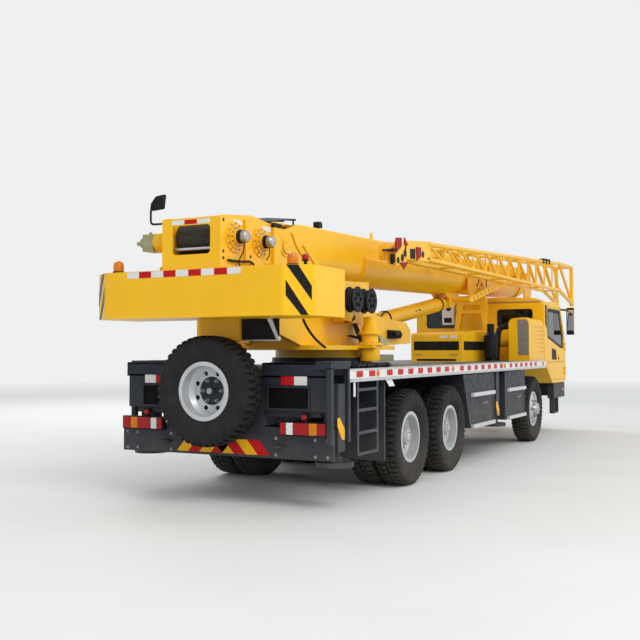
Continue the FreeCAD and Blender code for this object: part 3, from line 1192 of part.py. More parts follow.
def operator_cab():
    y0 = 520
    y1 = 1200
    skin = 35
    shell = prism("y", OPERATOR_SIDE, y0, y1)
    inner = prism("y", [(OPERATOR_X + skin, TURNTABLE_BOTTOM_Z + 90),
                        (OPERATOR_X + skin, 3055, 60), (OPERATOR_X + 1280, 3075, 100),
                        (OPERATOR_X + 1685, 2300, 90),
                        (OPERATOR_X + 1615, TURNTABLE_BOTTOM_Z + 90, 40)], y0 + skin, y1 - skin)
    shell = shell.cut(inner)
    side = prism("y", [(OPERATOR_X + 120, 2250, 50), (OPERATOR_X + 120, 3000, 50),
                       (OPERATOR_X + 1230, 3010, 50), (OPERATOR_X + 1560, 2350, 50),
                       (OPERATOR_X + 1500, 2250, 50)], y0 - 1, y0 + skin + 1)
    front = prism("x", [(y0 + 60, 1900, 50), (y1 - 60, 1900, 50), (y1 - 60, 3000, 50),
                        (y0 + 60, 3000, 50)], OPERATOR_X + 1260, OPERATOR_X + 1760)
    rear = prism("x", [(y0 + 60, 2300, 50), (y1 - 60, 2300, 50), (y1 - 60, 2980, 50),
                       (y0 + 60, 2980, 50)], OPERATOR_X - 1, OPERATOR_X + skin + 1)
    doorway = prism("y", [(OPERATOR_X + 560, 1700, 40), (OPERATOR_X + 560, 3000, 40),
                          (OPERATOR_X + 1200, 3010, 60), (OPERATOR_X + 1560, 2300, 60),
                          (OPERATOR_X + 1500, 1700, 40)], y1 - skin - 1, y1 + 1)
    shell = shell.cut(side).cut(front).cut(rear).cut(doorway)
    guides = [box(OPERATOR_X + 20, OPERATOR_X + 1200, y1, y1 + 45, 3030, 3055),
              box(OPERATOR_X + 20, OPERATOR_X + 1550, y1, y1 + 45, 1630, 1660 - 0.4)]
    floor_z = TURNTABLE_BOTTOM_Z + 90
    consoles = [prism("y", [(OPERATOR_X + 560, floor_z), (OPERATOR_X + 560, 2160, 30),
                            (OPERATOR_X + 960, 2200, 60), (OPERATOR_X + 960, floor_z)], y, y + 70)
                for y in (570, 1050)]
    levers = [rod((OPERATOR_X + 860, y + 35, 2180), (OPERATOR_X + 880, y + 35, 2300), 12)
              for y in (570, 1050)]
    save("operator_cab", fuse(shell, *guides),
         fuse(seat(OPERATOR_X + 340, 860, floor_z, 1960, 190), *consoles, *levers))
    door = prism("y", [(OPERATOR_X + 530, 1660, 40), (OPERATOR_X + 530, 3024, 20),
                       (OPERATOR_X + 1240, 3024, 40), (OPERATOR_X + 1600, 2300, 60),
                       (OPERATOR_X + 1530, 1660, 40)], y1 + 8, y1 + 40)
    pane = prism("y", [(OPERATOR_X + 620, 2100, 40), (OPERATOR_X + 620, 2940, 40),
                       (OPERATOR_X + 1180, 2940, 40), (OPERATOR_X + 1500, 2300, 40),
                       (OPERATOR_X + 1480, 2100, 40)], y1 - 1, y1 + 50)
    save("operator_door", door.cut(pane))


# Boom

def u_section(half, top, bottom, start, end):
    """Solid U-shaped bar: flat top with small bends, straight sides, half-round bottom."""
    bend = 30
    sides = bottom + half
    edges = [
        Part.LineSegment(V(start, -half, sides), V(start, -half, top - bend)).toShape(),
        Part.Arc(V(start, -half, top - bend),
                 V(start, -half + bend * (1 - math.sqrt(0.5)), top - bend * (1 - math.sqrt(0.5))),
                 V(start, -half + bend, top)).toShape(),
        Part.LineSegment(V(start, -half + bend, top), V(start, half - bend, top)).toShape(),
        Part.Arc(V(start, half - bend, top),
                 V(start, half - bend * (1 - math.sqrt(0.5)), top - bend * (1 - math.sqrt(0.5))),
                 V(start, half, top - bend)).toShape(),
        Part.LineSegment(V(start, half, top - bend), V(start, half, sides)).toShape(),
        Part.Arc(V(start, half, sides), V(start, 0, bottom), V(start, -half, sides)).toShape(),
    ]
    return Part.Face(Part.Wire(edges)).extrude(V(end - start, 0, 0))


def u_offset(size, by, start, end):
    half, top, bottom = size
    return u_section(half + by, top + by, bottom - by, start, end)


BASE_SIZE = (BOOM_HALF_WIDTH, BOOM_TOP, BOOM_BOTTOM)
SECTION_SHRINK = BOOM_WALL + SECTION_GAP


def section_size(number):
    """Outer half width, top and bottom of a section, the base section being number 1."""
    shrink = SECTION_SHRINK * (number - 1)
    return (BOOM_HALF_WIDTH - shrink, BOOM_TOP - shrink, BOOM_BOTTOM + shrink)


def section_end(number):
    return BOOM_BASE_END + SECTION_STEP * (number - 1)


def section_start(number):
    return SECTION_TAIL_START + 60 * (number - 2)


def hollow_section(number, start):
    """A telescoping section: hollow tube, thick collar at the head that the next one slides in."""
    size = section_size(number)
    end = section_end(number)
    collar = u_offset(size, COLLAR_WALL, end - COLLAR_LENGTH, end)
    body = u_offset(size, 0, start, end).fuse(collar)
    if number < 5:
        body = body.cut(u_offset(size, -BOOM_WALL, start - 1, end - COLLAR_LENGTH))
        following = section_size(number + 1)
        body = body.cut(u_offset(following, PAD_GAP, end - COLLAR_LENGTH - 1, end + 1))
    else:
        body = body.cut(u_offset(size, -BOOM_WALL, start - 1, end - COLLAR_LENGTH))
    if number > 1:
        tail = u_offset(size, SECTION_GAP - PAD_GAP, start, start + 200)
        tail = tail.cut(u_offset(size, -BOOM_WALL, start - 1, start + 201))
        body = body.fuse(tail)
    return body.removeSplitter()


def boom_base():
    start = -130
    body = hollow_section(1, start)
    slant = prism("y", [(start - 1, 130), (500, BOOM_TOP + 1), (start - 1, BOOM_TOP + 1)],
                  -BOOM_HALF_WIDTH - 1, BOOM_HALF_WIDTH + 1)
    foot_cut = prism("y", [(start - 1, -130), (500, BOOM_BOTTOM - 1), (start - 1, BOOM_BOTTOM - 1)],
                     -BOOM_HALF_WIDTH - 1, BOOM_HALF_WIDTH + 1)
    body = body.cut(slant).cut(foot_cut)
    wrapper = u_offset((BOOM_HALF_WIDTH, 0, BOOM_BOTTOM), WRAPPER_WALL, WRAPPER_START, WRAPPER_END)
    wrapper = wrapper.cut(u_offset((BOOM_HALF_WIDTH, BOOM_TOP, BOOM_BOTTOM), 0,
                                   WRAPPER_START - 1, WRAPPER_END + 1))
    ears = []
    for side in (-1, 1):
        y0, y1 = sorted((side * (EYE_HALF + EAR_OFFSET),
                         side * (EYE_HALF + EAR_OFFSET + EAR_WIDTH)))
        ear = prism("y", [(LUG_ALONG - 350, BOOM_BOTTOM + 5), (LUG_ALONG + 420, BOOM_BOTTOM + 5),
                          (LUG_ALONG + 130, LUG_DROP - 60, 60), (LUG_ALONG - 110, LUG_DROP - 90, 60),
                          (LUG_ALONG - 130, LUG_DROP + 60, 30)], y0, y1)
        ear = ear.cut(u_offset(BASE_SIZE, 0, LUG_ALONG - 400, LUG_ALONG + 500))
        ears.append(ear)
    eyes = [rod((0, side * (BOOM_HALF_WIDTH - 1), 0), (0, side * (SIDE_PLATE_Y - 6), 0),
                BOOM_PIN_RADIUS + 50) for side in (-1, 1)]
    pin_hole = rod((0, -400, 0), (0, 400, 0), BOOM_PIN_RADIUS + RUNNING_CLEARANCE)
    body = fuse(body, wrapper, *ears, *eyes).cut(pin_hole)
    save("boom_base", on_boom(body))


def boom_sections():
    for number in (2, 3, 4):
        save("boom_section_%d" % number, on_boom(hollow_section(number, section_start(number))))
    half = section_size(5)[0]
    end = section_end(5)
    plates = []
    for side in (-1, 1):
        y0, y1 = sorted((side * (half + 20), side * (half - 10)))
        plates.append(prism("y", [(end, 190, 30), (end + HEAD_LENGTH, 130, 60),
                                  (end + HEAD_LENGTH, -120, 60),
                                  (end + HEAD_SHEAVE_ALONG + 90, HEAD_SHEAVE_DROP - 60, 70),
                                  (end + HEAD_SHEAVE_ALONG - 90, HEAD_SHEAVE_DROP - 60, 70),
                                  (end, -250, 30)], y0, y1))
    low = (end + HEAD_SHEAVE_ALONG, HEAD_SHEAVE_DROP)
    top = (end + 150, 90)
    pins = [rod((along, -half, up), (along, half, up), 35) for along, up in (low, top)]
    sheaves = [sheave(low[0], y, low[1], HEAD_SHEAVE_RADIUS, SHEAVE_GROOVE, SHEAVE_WIDTH)
               for y in (*FALL_SIDES, 0)]
    sheaves += [sheave(top[0], y, top[1], 110, 22, SHEAVE_WIDTH) for y in FALL_SIDES]
    section = hollow_section(5, section_start(5))
    save("boom_section_5", on_boom(fuse(section, *plates, *pins, *sheaves)))


def hook_block():
    """Four-fall block: cheek plates round two sheaves, ballast below them and an open hook."""
    x, _, z = boom_point(section_end(5) + HEAD_SHEAVE_ALONG, 0, HEAD_SHEAVE_DROP)
    reach = HEAD_SHEAVE_RADIUS - SHEAVE_GROOVE + ROPE_RADIUS + ROPE_SEAT_GAP
    ropes = []
    for y in FALL_SIDES:
        over = ring_bar(reach, ROPE_RADIUS, 180)
        over.rotate(V(0, 0, 0), V(0, 1, 0), 180)
        over.translate(V(x, y, z))
        falls = [rod((x + side * reach, y, z),
                     (x + side * (HOOK_SHEAVE_RADIUS - HOOK_GROOVE + ROPE_RADIUS - 0.5), y,
                      z - HOOK_SHEAVE_DROP), ROPE_RADIUS) for side in (-1, 1)]
        ropes += [over, *falls]
    cheeks = [prism("y", [(x - 90, z - 900, 60), (x - 150, z - HOOK_SHEAVE_DROP, 90),
                          (x - 80, z - 470, 60), (x + 80, z - 470, 60),
                          (x + 150, z - HOOK_SHEAVE_DROP, 90), (x + 90, z - 900, 60)], y - 12, y + 12)
              for y in (-98, 0, 98)]
    sheaves = [sheave(x, y, z - HOOK_SHEAVE_DROP, HOOK_SHEAVE_RADIUS, HOOK_GROOVE, SHEAVE_WIDTH)
               for y in FALL_SIDES]
    pin = rod((x, -115, z - HOOK_SHEAVE_DROP), (x, 115, z - HOOK_SHEAVE_DROP), 30)
    ballast = prism("y", [(x - 85, z - 890, 30), (x - 105, z - 780, 20), (x + 105, z - 780, 20),
                          (x + 85, z - 890, 30)], -100, 100)
    shank = rod((x, 0, z - 880), (x, 0, z - 1010), 34)
    nut = rod((x, 0, z - 890), (x, 0, z - 925), 62)
    bend = ring_bar(HOOK_RADIUS, HOOK_THICKNESS, HOOK_BEND)
    bend.rotate(V(0, 0, 0), V(0, 1, 0), HOOK_TURN)
    bend.translate(V(x, 0, z - 1000 - HOOK_RADIUS))
    save("hook_block", fuse(*cheeks, *sheaves, pin, ballast, shank, nut, bend, *ropes))


# Stowed lattice jib

def jib_point(share, level, y):
    return (JIB_REAR_X + (JIB_FRONT_X - JIB_REAR_X) * share, y,
            JIB_REAR_Z[level] + (JIB_FRONT_Z[level] - JIB_REAR_Z[level]) * share)


def jib_fork():
    """Upright fork at the foot of the jib, ahead of the cab, that pins to the boom's head."""
    top_x = OVERALL_LENGTH / 2 - 75
    foot_x = OVERALL_LENGTH / 2 - 60
    solids = [rod((top_x, JIB_NEAR_Y, JIB_TOP_BAR_Z), (top_x, JIB_FAR_Y, JIB_TOP_BAR_Z), 28)]
    for y in (JIB_NEAR_Y, JIB_FAR_Y):
        foot = (foot_x, y, JIB_FOOT_Z)
        top = (top_x, y, JIB_TOP_BAR_Z)
        solids.append(rod(jib_point(1, "low", y), foot, 38))
        solids.append(rod(jib_point(JIB_SOCKET_SHARE, "high", y), top, CHORD_RADIUS + 5))
        solids.append(rod(top, foot, 38))
        solids.append(rod(jib_point(1, "high", y), foot, 28))
        solids.append(rod((foot_x, y - 40, JIB_FOOT_Z), (foot_x, y + 40, JIB_FOOT_Z), 60))
    return solids


def jib_head():
    """Cheek plates at the tip, with the rope sheave between them."""
    x = JIB_REAR_X
    cheeks = [prism("y", [(x - 850, 2640, 60), (x - 850, 2860, 80), (x + 60, 2940, 20),
                          (x + 60, 2670, 20)], y - 12, y + 12) for y in (JIB_NEAR_Y, JIB_FAR_Y)]
    return [*cheeks,
            rod((x - 740, JIB_NEAR_Y, 2750), (x - 740, JIB_FAR_Y, 2750), 30),
            sheave(x - 740, -740, 2750, 105, 30, 50),
            rod((x - 250, JIB_NEAR_Y, 2800), (x - 250, JIB_FAR_Y, 2800), 25)]


def jib_brackets():
    """Arms that carry the stowed jib on the boom's side, and the slotted strut from the lug."""
    solids = []
    for x in JIB_BRACKETS_X:
        share = (x - JIB_REAR_X) / (JIB_FRONT_X - JIB_REAR_X)
        arm_z = boom_point(x - BOOM_PIVOT_X, 0, BOOM_FLAT_MIDDLE)[2]
        low = jib_point(share, "low", 0)[2]
        high = jib_point(share, "high", 0)[2]
        solids.append(box(x - 40, x + 40, JIB_NEAR_Y, -BOOM_HALF_WIDTH, arm_z - 40, arm_z + 40))
        solids.append(box(x - 40, x + 40, JIB_NEAR_Y - 15, JIB_NEAR_Y + 15,
                          min(low, arm_z - 40), max(high, arm_z + 40)))
        solids.append(prism("z", [(x - 160, -BOOM_HALF_WIDTH), (x + 160, -BOOM_HALF_WIDTH),
                                  (x + 40, -BOOM_HALF_WIDTH - 130), (x - 40, -BOOM_HALF_WIDTH - 130)],
                            arm_z - 12, arm_z + 12))
    lug = boom_point(LUG_ALONG, 0, LUG_DROP)
    start = V(lug[0] + 60, -400, lug[2] + 40)
    end = V(*jib_point(STRUT_END_SHARE, "low", JIB_NEAR_Y))
    length = (end - start).Length
    strut = box(0, length, -STRUT_WIDTH / 2, STRUT_WIDTH / 2, -STRUT_HEIGHT / 2, STRUT_HEIGHT / 2)
    for step in range(1, STRUT_HOLES + 1):
        along = length * step / (STRUT_HOLES + 1)
        strut = strut.cut(rod((along, -STRUT_WIDTH, 0), (along, STRUT_WIDTH, 0), 24))
    run = end - start
    strut.rotate(V(0, 0, 0), V(0, -1, 0), math.degrees(math.asin(run.z / length)))
    strut.rotate(V(0, 0, 0), V(0, 0, 1), math.degrees(math.atan2(run.y, run.x)))
    strut.translate(start)
    foot = rod((start.x, -EYE_HALF - EAR_OFFSET - EAR_WIDTH, start.z),
               (start.x, start.y - STRUT_WIDTH / 2, start.z), 32)
    return [*solids, strut, foot]


def lattice_jib():
    """Fly jib stowed along the boom's right side."""
    solids = [*jib_fork(), *jib_head(), *jib_brackets()]
    for y in (JIB_NEAR_Y, JIB_FAR_Y):
        for level in ("low", "high"):
            solids.append(rod(jib_point(0, level, y), jib_point(1, level, y), CHORD_RADIUS))
        for index in range(JIB_BAYS):
            low = index / JIB_BAYS
            solids.append(rod(jib_point(low, "high", y), jib_point(low + 1 / JIB_BAYS, "low", y),
                              LACING_RADIUS))
            solids.append(rod(jib_point(low, "low", y), jib_point(low, "high", y), 14))
    for level in ("low", "high"):
        for index in range(0, JIB_BAYS + 1, 2):
            solids.append(rod(jib_point(index / JIB_BAYS, level, JIB_NEAR_Y),
                              jib_point(index / JIB_BAYS, level, JIB_FAR_Y), LACING_RADIUS))
    save("lattice_jib", fuse(*solids))


# Luffing cylinder

def luff_cylinder():
    lug = boom_point(LUG_ALONG, 0, LUG_DROP)
    run = V(lug[0] - CYLINDER_BASE_X, 0, lug[2] - CYLINDER_BASE_Z)
    length = run.Length
    tilt = math.degrees(math.atan2(run.z, run.x))

    def placed(shape):
        moved = shape.copy()
        moved.translate(V(CYLINDER_BASE_X, 0, CYLINDER_BASE_Z))
        moved.rotate(V(CYLINDER_BASE_X, 0, CYLINDER_BASE_Z), V(0, -1, 0), tilt)
        return moved

    head = length - EYE_RADIUS - 110
    barrel = fuse(rod((60, 0, 0), (600, 0, 0), BARREL_RADIUS - 14),
                  rod((600, 0, 0), (head, 0, 0), BARREL_RADIUS),
                  rod((0, -SIDE_PLATE_Y + 80, 0), (0, SIDE_PLATE_Y - 80, 0), EYE_RADIUS))
    barrel = barrel.cut(rod((200, 0, 0), (head - 120, 0, 0), BARREL_RADIUS - 26))
    barrel = barrel.cut(rod((head - 121, 0, 0), (head + 1, 0, 0), LUFF_ROD_RADIUS + 0.4))
    barrel = barrel.cut(rod((0, -400, 0), (0, 400, 0), EYE_PIN_RADIUS + RUNNING_CLEARANCE))
    save("luff_barrel", placed(barrel))
    piston = fuse(rod((320, 0, 0), (length - 40, 0, 0), LUFF_ROD_RADIUS),
                  rod((300, 0, 0), (420, 0, 0), BARREL_RADIUS - 26.4),
                  rod((length, -EYE_HALF, 0), (length, EYE_HALF, 0), EYE_RADIUS))
    piston = piston.cut(rod((length, -100, 0), (length, 100, 0), EYE_PIN_RADIUS))
    save("luff_rod", placed(piston))


wheels()
spare_wheel()
axles()
steering()
chassis_frame()
outriggers()
deck()
engine()
boom_rest()
cab()
front_end()
air_intake()
side_boxes()
tail_lamps()
turntable()
side_plates()
counterweight()
winches()
slew_drive()
operator_cab()
boom_base()
boom_sections()
hook_block()
lattice_jib()
luff_cylinder()

os.makedirs("parts", exist_ok=True)
for node, compound in PARTS.items():
    compound.exportStep("parts/" + node + ".step")
print(len(PARTS), "nodes")
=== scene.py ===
import math

import bmesh
import bpy
from mathutils import Matrix, Quaternion, Vector


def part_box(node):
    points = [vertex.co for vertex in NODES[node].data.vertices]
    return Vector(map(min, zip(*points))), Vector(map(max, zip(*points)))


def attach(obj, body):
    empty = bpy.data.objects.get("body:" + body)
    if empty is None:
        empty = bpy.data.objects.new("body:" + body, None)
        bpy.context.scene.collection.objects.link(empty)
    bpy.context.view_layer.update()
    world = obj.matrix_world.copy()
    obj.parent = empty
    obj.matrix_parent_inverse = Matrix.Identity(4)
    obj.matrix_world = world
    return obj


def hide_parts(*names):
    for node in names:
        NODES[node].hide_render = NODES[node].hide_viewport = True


# Truck crane in studio light. Lengths are metres in the frame's own axes: X forward, Y left, Z up.

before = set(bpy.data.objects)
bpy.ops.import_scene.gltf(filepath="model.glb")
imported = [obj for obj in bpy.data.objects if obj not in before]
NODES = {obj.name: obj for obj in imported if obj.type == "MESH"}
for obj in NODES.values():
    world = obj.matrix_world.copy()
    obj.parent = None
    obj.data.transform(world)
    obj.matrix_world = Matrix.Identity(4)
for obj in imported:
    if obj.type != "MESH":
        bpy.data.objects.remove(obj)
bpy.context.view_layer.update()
SIDES = (("left", 1), ("right", -1))
AHEAD = (1, 0, 0)
BACK = (-1, 0, 0)
ACROSS = (0, 1, 0)
UP = (0, 0, 1)


def middle(node):
    low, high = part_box(node)
    return (low + high) / 2


# Places worked out from the frame

AXLE_3_X = middle("rear_tyres_left").x
AXLE_2_X = middle("middle_tyres_left").x
AXLE_1_X = middle("front_tyre_left").x
WHEEL_Z = middle("rear_tyres_left").z
TYRE_RADIUS = WHEEL_Z
REAR_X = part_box("counterweight")[0].x
FRAME_REAR_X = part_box("tail_lamps")[1].x
DECK_LOW, DECK_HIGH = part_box("deck")
DECK_TOP_Z = 1.34
DECK_SIDE_Y = DECK_HIGH.y
CAB_REAR_X = AXLE_1_X + 0.875
CAB_FRONT_X = CAB_REAR_X + 1.7
CAB_SIDE_Y = 1.2
WEIGHT_LOW, WEIGHT_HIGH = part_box("counterweight")
DRUMS = (("rear", middle("rear_winch_drum")), ("front", middle("front_winch_drum")))
SLEW = middle("slewing_ring")
SPARE = middle("spare_tyre")
OPERATOR_X = SLEW.x - 0.9
LUFF_FOOT = Vector((AXLE_3_X + 0.9, 0, 1.80))
BOOM_PIVOT = Vector((AXLE_3_X - 1.35, 0, 2.62))
BOOM_ANGLE = math.radians(1.5)


def on_boom(along, side, up):
    """Place of a point given along, beside and above the boom's foot pin."""
    x = BOOM_PIVOT.x + along * math.cos(BOOM_ANGLE) - up * math.sin(BOOM_ANGLE)
    z = BOOM_PIVOT.z + along * math.sin(BOOM_ANGLE) + up * math.cos(BOOM_ANGLE)
    return Vector((x, side, z))


# Camera, from the fit of the photograph

CAMERA_PLACE = Vector((-13.571, -5.050, 1.522))
CAMERA_YAW = 0.4743
CAMERA_PITCH = 0.0384
CAMERA_ROLL = 0.0022
CAMERA_LENS = 51.37
CAMERA_SHIFT_Y = -0.00703


def make_camera():
    data = bpy.data.cameras.new("camera")
    data.lens = CAMERA_LENS
    data.sensor_width = 36.0
    data.shift_y = CAMERA_SHIFT_Y
    data.clip_end = 200.0
    camera = bpy.data.objects.new("camera", data)
    bpy.context.scene.collection.objects.link(camera)
    ahead = Vector((math.cos(CAMERA_YAW) * math.cos(CAMERA_PITCH),
                    math.sin(CAMERA_YAW) * math.cos(CAMERA_PITCH), math.sin(CAMERA_PITCH)))
    camera.location = CAMERA_PLACE
    camera.rotation_mode = "QUATERNION"
    camera.rotation_quaternion = Quaternion(ahead, CAMERA_ROLL) @ ahead.to_track_quat("-Z", "Y")
    bpy.context.scene.camera = camera


# Materials

YELLOW = (0.90, 0.50, 0.007)
CHASSIS = (0.018, 0.023, 0.034)
RUBBER = (0.013, 0.013, 0.014)
SILVER = (0.56, 0.58, 0.60)
STEEL = (0.38, 0.38, 0.39)
# Deck grey is darker than the plate's own grey: partly its colour, partly painted shade of the shadowed deck.
DECK_GREY_WITH_SHADE = (0.125, 0.13, 0.135)
BLACK = (0.009, 0.009, 0.010)
RED = (0.38, 0.004, 0.006)
WHITE = (0.78, 0.78, 0.76)
AMBER = (0.66, 0.20, 0.006)
DUST = (0.30, 0.26, 0.20)
ROPE = (0.055, 0.045, 0.032)
HOOK_ROPE_Z = 1.93
LADDER_BRIGHT_X = -2.5


class Finish:
    """A node material: a base colour broken up by noise, dust that thickens near the ground, bump."""

    def __init__(self, name, colour, roughness, metallic=0.0):
        self.material = bpy.data.materials.new(name)
        self.material.use_nodes = True
        self.tree = self.material.node_tree
        self.shader = self.tree.nodes["Principled BSDF"]
        self.shader.inputs["Metallic"].default_value = metallic
        self.shader.inputs["Roughness"].default_value = roughness
        self.place = self.node("ShaderNodeTexCoord").outputs["Object"]
        self.colour = self.node("ShaderNodeRGB").outputs[0]
        self.colour.default_value = (*colour, 1.0)

    def node(self, kind, **settings):
        made = self.tree.nodes.new(kind)
        for key, value in settings.items():
            setattr(made, key, value)
        return made

    def link(self, source, target):
        self.tree.links.new(source, target)

    def noise(self, scale, detail=4.0, stretch=(1, 1, 1)):
        mapping = self.node("ShaderNodeMapping")
        mapping.inputs["Scale"].default_value = stretch
        self.link(self.place, mapping.inputs["Vector"])
        noise = self.node("ShaderNodeTexNoise")
        noise.inputs["Scale"].default_value = scale
        noise.inputs["Detail"].default_value = detail
        self.link(mapping.outputs[0], noise.inputs["Vector"])
        return noise.outputs["Fac"]

    def span(self, source, low, high, to_low, to_high):
        made = self.node("ShaderNodeMapRange")
        self.link(source, made.inputs["Value"])
        for key, value in (("From Min", low), ("From Max", high), ("To Min", to_low), ("To Max", to_high)):
            made.inputs[key].default_value = value
        return made.outputs["Result"]

    def maths(self, operation, first, second):
        made = self.node("ShaderNodeMath", operation=operation)
        for socket, value in zip(made.inputs, (first, second)):
            if isinstance(value, (int, float)):
                socket.default_value = value
            else:
                self.link(value, socket)
        return made.outputs[0]

    def axis(self, name):
        """Place along one axis of the frame."""
        split = self.node("ShaderNodeSeparateXYZ")
        self.link(self.place, split.inputs[0])
        return split.outputs[name]

    def blend(self, factor, colour):
        """Lays a second colour over the base where the factor is 1."""
        mix = self.node("ShaderNodeMix", data_type="RGBA")
        self.link(factor, mix.inputs["Factor"])
        self.link(self.colour, mix.inputs[6])
        mix.inputs[7].default_value = (*colour, 1.0)
        self.colour = mix.outputs[2]
        return self

    def mottle(self, colour, amount=0.3, scale=3.0, stretch=(1, 1, 1)):
        return self.blend(self.span(self.noise(scale, 6.0, stretch), 0.42, 0.72, 0.0, amount), colour)

    def dusty(self, amount=0.5, top=1.3):
        near = self.span(self.axis("Z"), 0.0, top, amount, 0.0)
        cloud = self.span(self.noise(4.0, 8.0), 0.3, 0.7, 0.35, 1.0)
        return self.blend(self.maths("MULTIPLY", near, cloud), DUST)

    def uneven(self, low, high, scale=18.0):
        self.link(self.span(self.noise(scale, 5.0), 0.3, 0.7, low, high), self.shader.inputs["Roughness"])
        return self

    def bumpy(self, scale=60.0, strength=0.08, distance=0.002):
        return self.bumped(self.noise(scale, 3.0), strength, distance)

    def bumped(self, height, strength, distance):
        bump = self.node("ShaderNodeBump")
        bump.inputs["Strength"].default_value = strength
        bump.inputs["Distance"].default_value = distance
        self.link(height, bump.inputs["Height"])
        self.link(bump.outputs[0], self.shader.inputs["Normal"])
        return self

    def waves(self, axis, per_metre):
        """Sine along one axis of the frame."""
        return self.maths("SINE", self.maths("MULTIPLY", self.axis(axis), 2 * math.pi * per_metre), 0)

    def weave(self, first, second, per_metre):
        """Product of two sines, which is a grid of rounded spots."""
        return self.maths("MULTIPLY", self.waves(first, per_metre), self.waves(second, per_metre))

    def beyond(self, axis, edge, colour):
        """Second colour past a place along one axis of the frame."""
        return self.blend(self.span(self.axis(axis), edge - 0.002, edge + 0.002, 0.0, 1.0), colour)

    def set(self, **sockets):
        for key, value in sockets.items():
            self.shader.inputs[key.replace("_", " ")].default_value = value
        return self

    def done(self):
        self.link(self.colour, self.shader.inputs["Base Color"])
        return self.material


def painted(name):
    return (Finish(name, YELLOW, 0.34).mottle((0.80, 0.40, 0.006), 0.35, 1.4)
            .mottle((0.62, 0.34, 0.04), 0.10, 4.0, (1, 1, 0.12)).dusty(0.12, 1.6)
            .uneven(0.28, 0.42).bumpy(90.0, 0.03, 0.001)
            .set(Coat_Weight=0.06, Coat_Roughness=0.15, Specular_IOR_Level=0.28))


def paints():
    return {
        "yellow": painted("yellow_paint").done(),
        "hook": painted("hook_paint").beyond("Z", HOOK_ROPE_Z, ROPE).done(),
        "chassis": (Finish("chassis_paint", CHASSIS, 0.45).mottle((0.036, 0.041, 0.052), 0.5, 2.2)
                    .dusty(0.26, 1.25).uneven(0.38, 0.62).bumpy(120.0, 0.07, 0.001)
                    .set(Coat_Weight=0.02, Coat_Roughness=0.3, Specular_IOR_Level=0.2).done()),
        "rim": (Finish("rim_paint", SILVER, 0.38, 0.35).mottle((0.34, 0.34, 0.34), 0.45, 6.0)
                .dusty(0.30, 0.9).uneven(0.30, 0.52).bumpy(160.0, 0.06, 0.001).done()),
        "white": (Finish("white_plate", (0.72, 0.72, 0.70), 0.35).mottle((0.55, 0.55, 0.53), 0.4, 14.0)
                  .uneven(0.28, 0.45).done()),
        "red_paint": (Finish("red_paint", (0.30, 0.006, 0.010), 0.4).mottle((0.18, 0.004, 0.006), 0.4, 9.0)
                      .uneven(0.34, 0.5).set(Specular_IOR_Level=0.1).done()),
    }


def metals():
    # The deck plate's base grey holds painted shade as well as the plate's own colour.
    deck = Finish("deck_plate", DECK_GREY_WITH_SHADE, 0.48, 0.3).mottle((0.09, 0.09, 0.09), 0.5, 3.0)
    tears = deck.span(deck.weave("X", "Y", 22), 0.35, 0.6, 0.0, 1.0)
    holes = Finish("pierced_sheet", (0.42, 0.43, 0.44), 0.42, 0.7).mottle((0.28, 0.28, 0.28), 0.4, 8.0)
    # Near-black dots are the sheet's holes: painted shade inside them.
    pierced_hole_shade = holes.span(holes.weave("Y", "Z", 26), 0.18, 0.26, 0.0, 1.0)
    return {
        "steel": (Finish("bare_steel", STEEL, 0.36, 0.85).mottle((0.20, 0.17, 0.14), 0.4, 8.0)
                  .uneven(0.28, 0.50).bumpy(260.0, 0.08, 0.0006).done()),
        "chrome": (Finish("rod_chrome", (0.78, 0.79, 0.80), 0.10, 1.0).mottle((0.6, 0.6, 0.6), 0.2, 20.0)
                   .uneven(0.06, 0.16).done()),
        "ladder": (Finish("ladder_metal", CHASSIS, 0.42, 0.2).mottle((0.06, 0.06, 0.07), 0.5, 8.0)
                   .beyond("X", LADDER_BRIGHT_X, (0.60, 0.61, 0.62)).dusty(0.2, 1.0).uneven(0.3, 0.5).done()),
        "valve": (Finish("valve_metal", (0.36, 0.35, 0.20), 0.45, 0.4).mottle((0.18, 0.17, 0.11), 0.5, 20.0)
                  .uneven(0.35, 0.6).bumpy(200.0, 0.2, 0.001).done()),
        "aluminium": (Finish("step_metal", (0.60, 0.61, 0.62), 0.38, 0.8)
                      .mottle((0.35, 0.34, 0.33), 0.4, 10.0).dusty(0.2, 1.0).uneven(0.3, 0.5).done()),
        "rope": (Finish("wire_rope", ROPE, 0.55, 0.5).mottle((0.022, 0.018, 0.014), 0.6, 24.0)
                 .uneven(0.45, 0.7).bumpy(500.0, 0.5, 0.001).done()),
        "mirror": (Finish("mirror_glass", (0.72, 0.75, 0.78), 0.03, 1.0)
                   .mottle((0.6, 0.63, 0.66), 0.2, 3.0).done()),
        "deck": deck.uneven(0.38, 0.6).bumped(tears, 0.6, 0.002).done(),
        "pierced": holes.blend(pierced_hole_shade, (0.01, 0.01, 0.01)).uneven(0.35, 0.5).done(),
    }


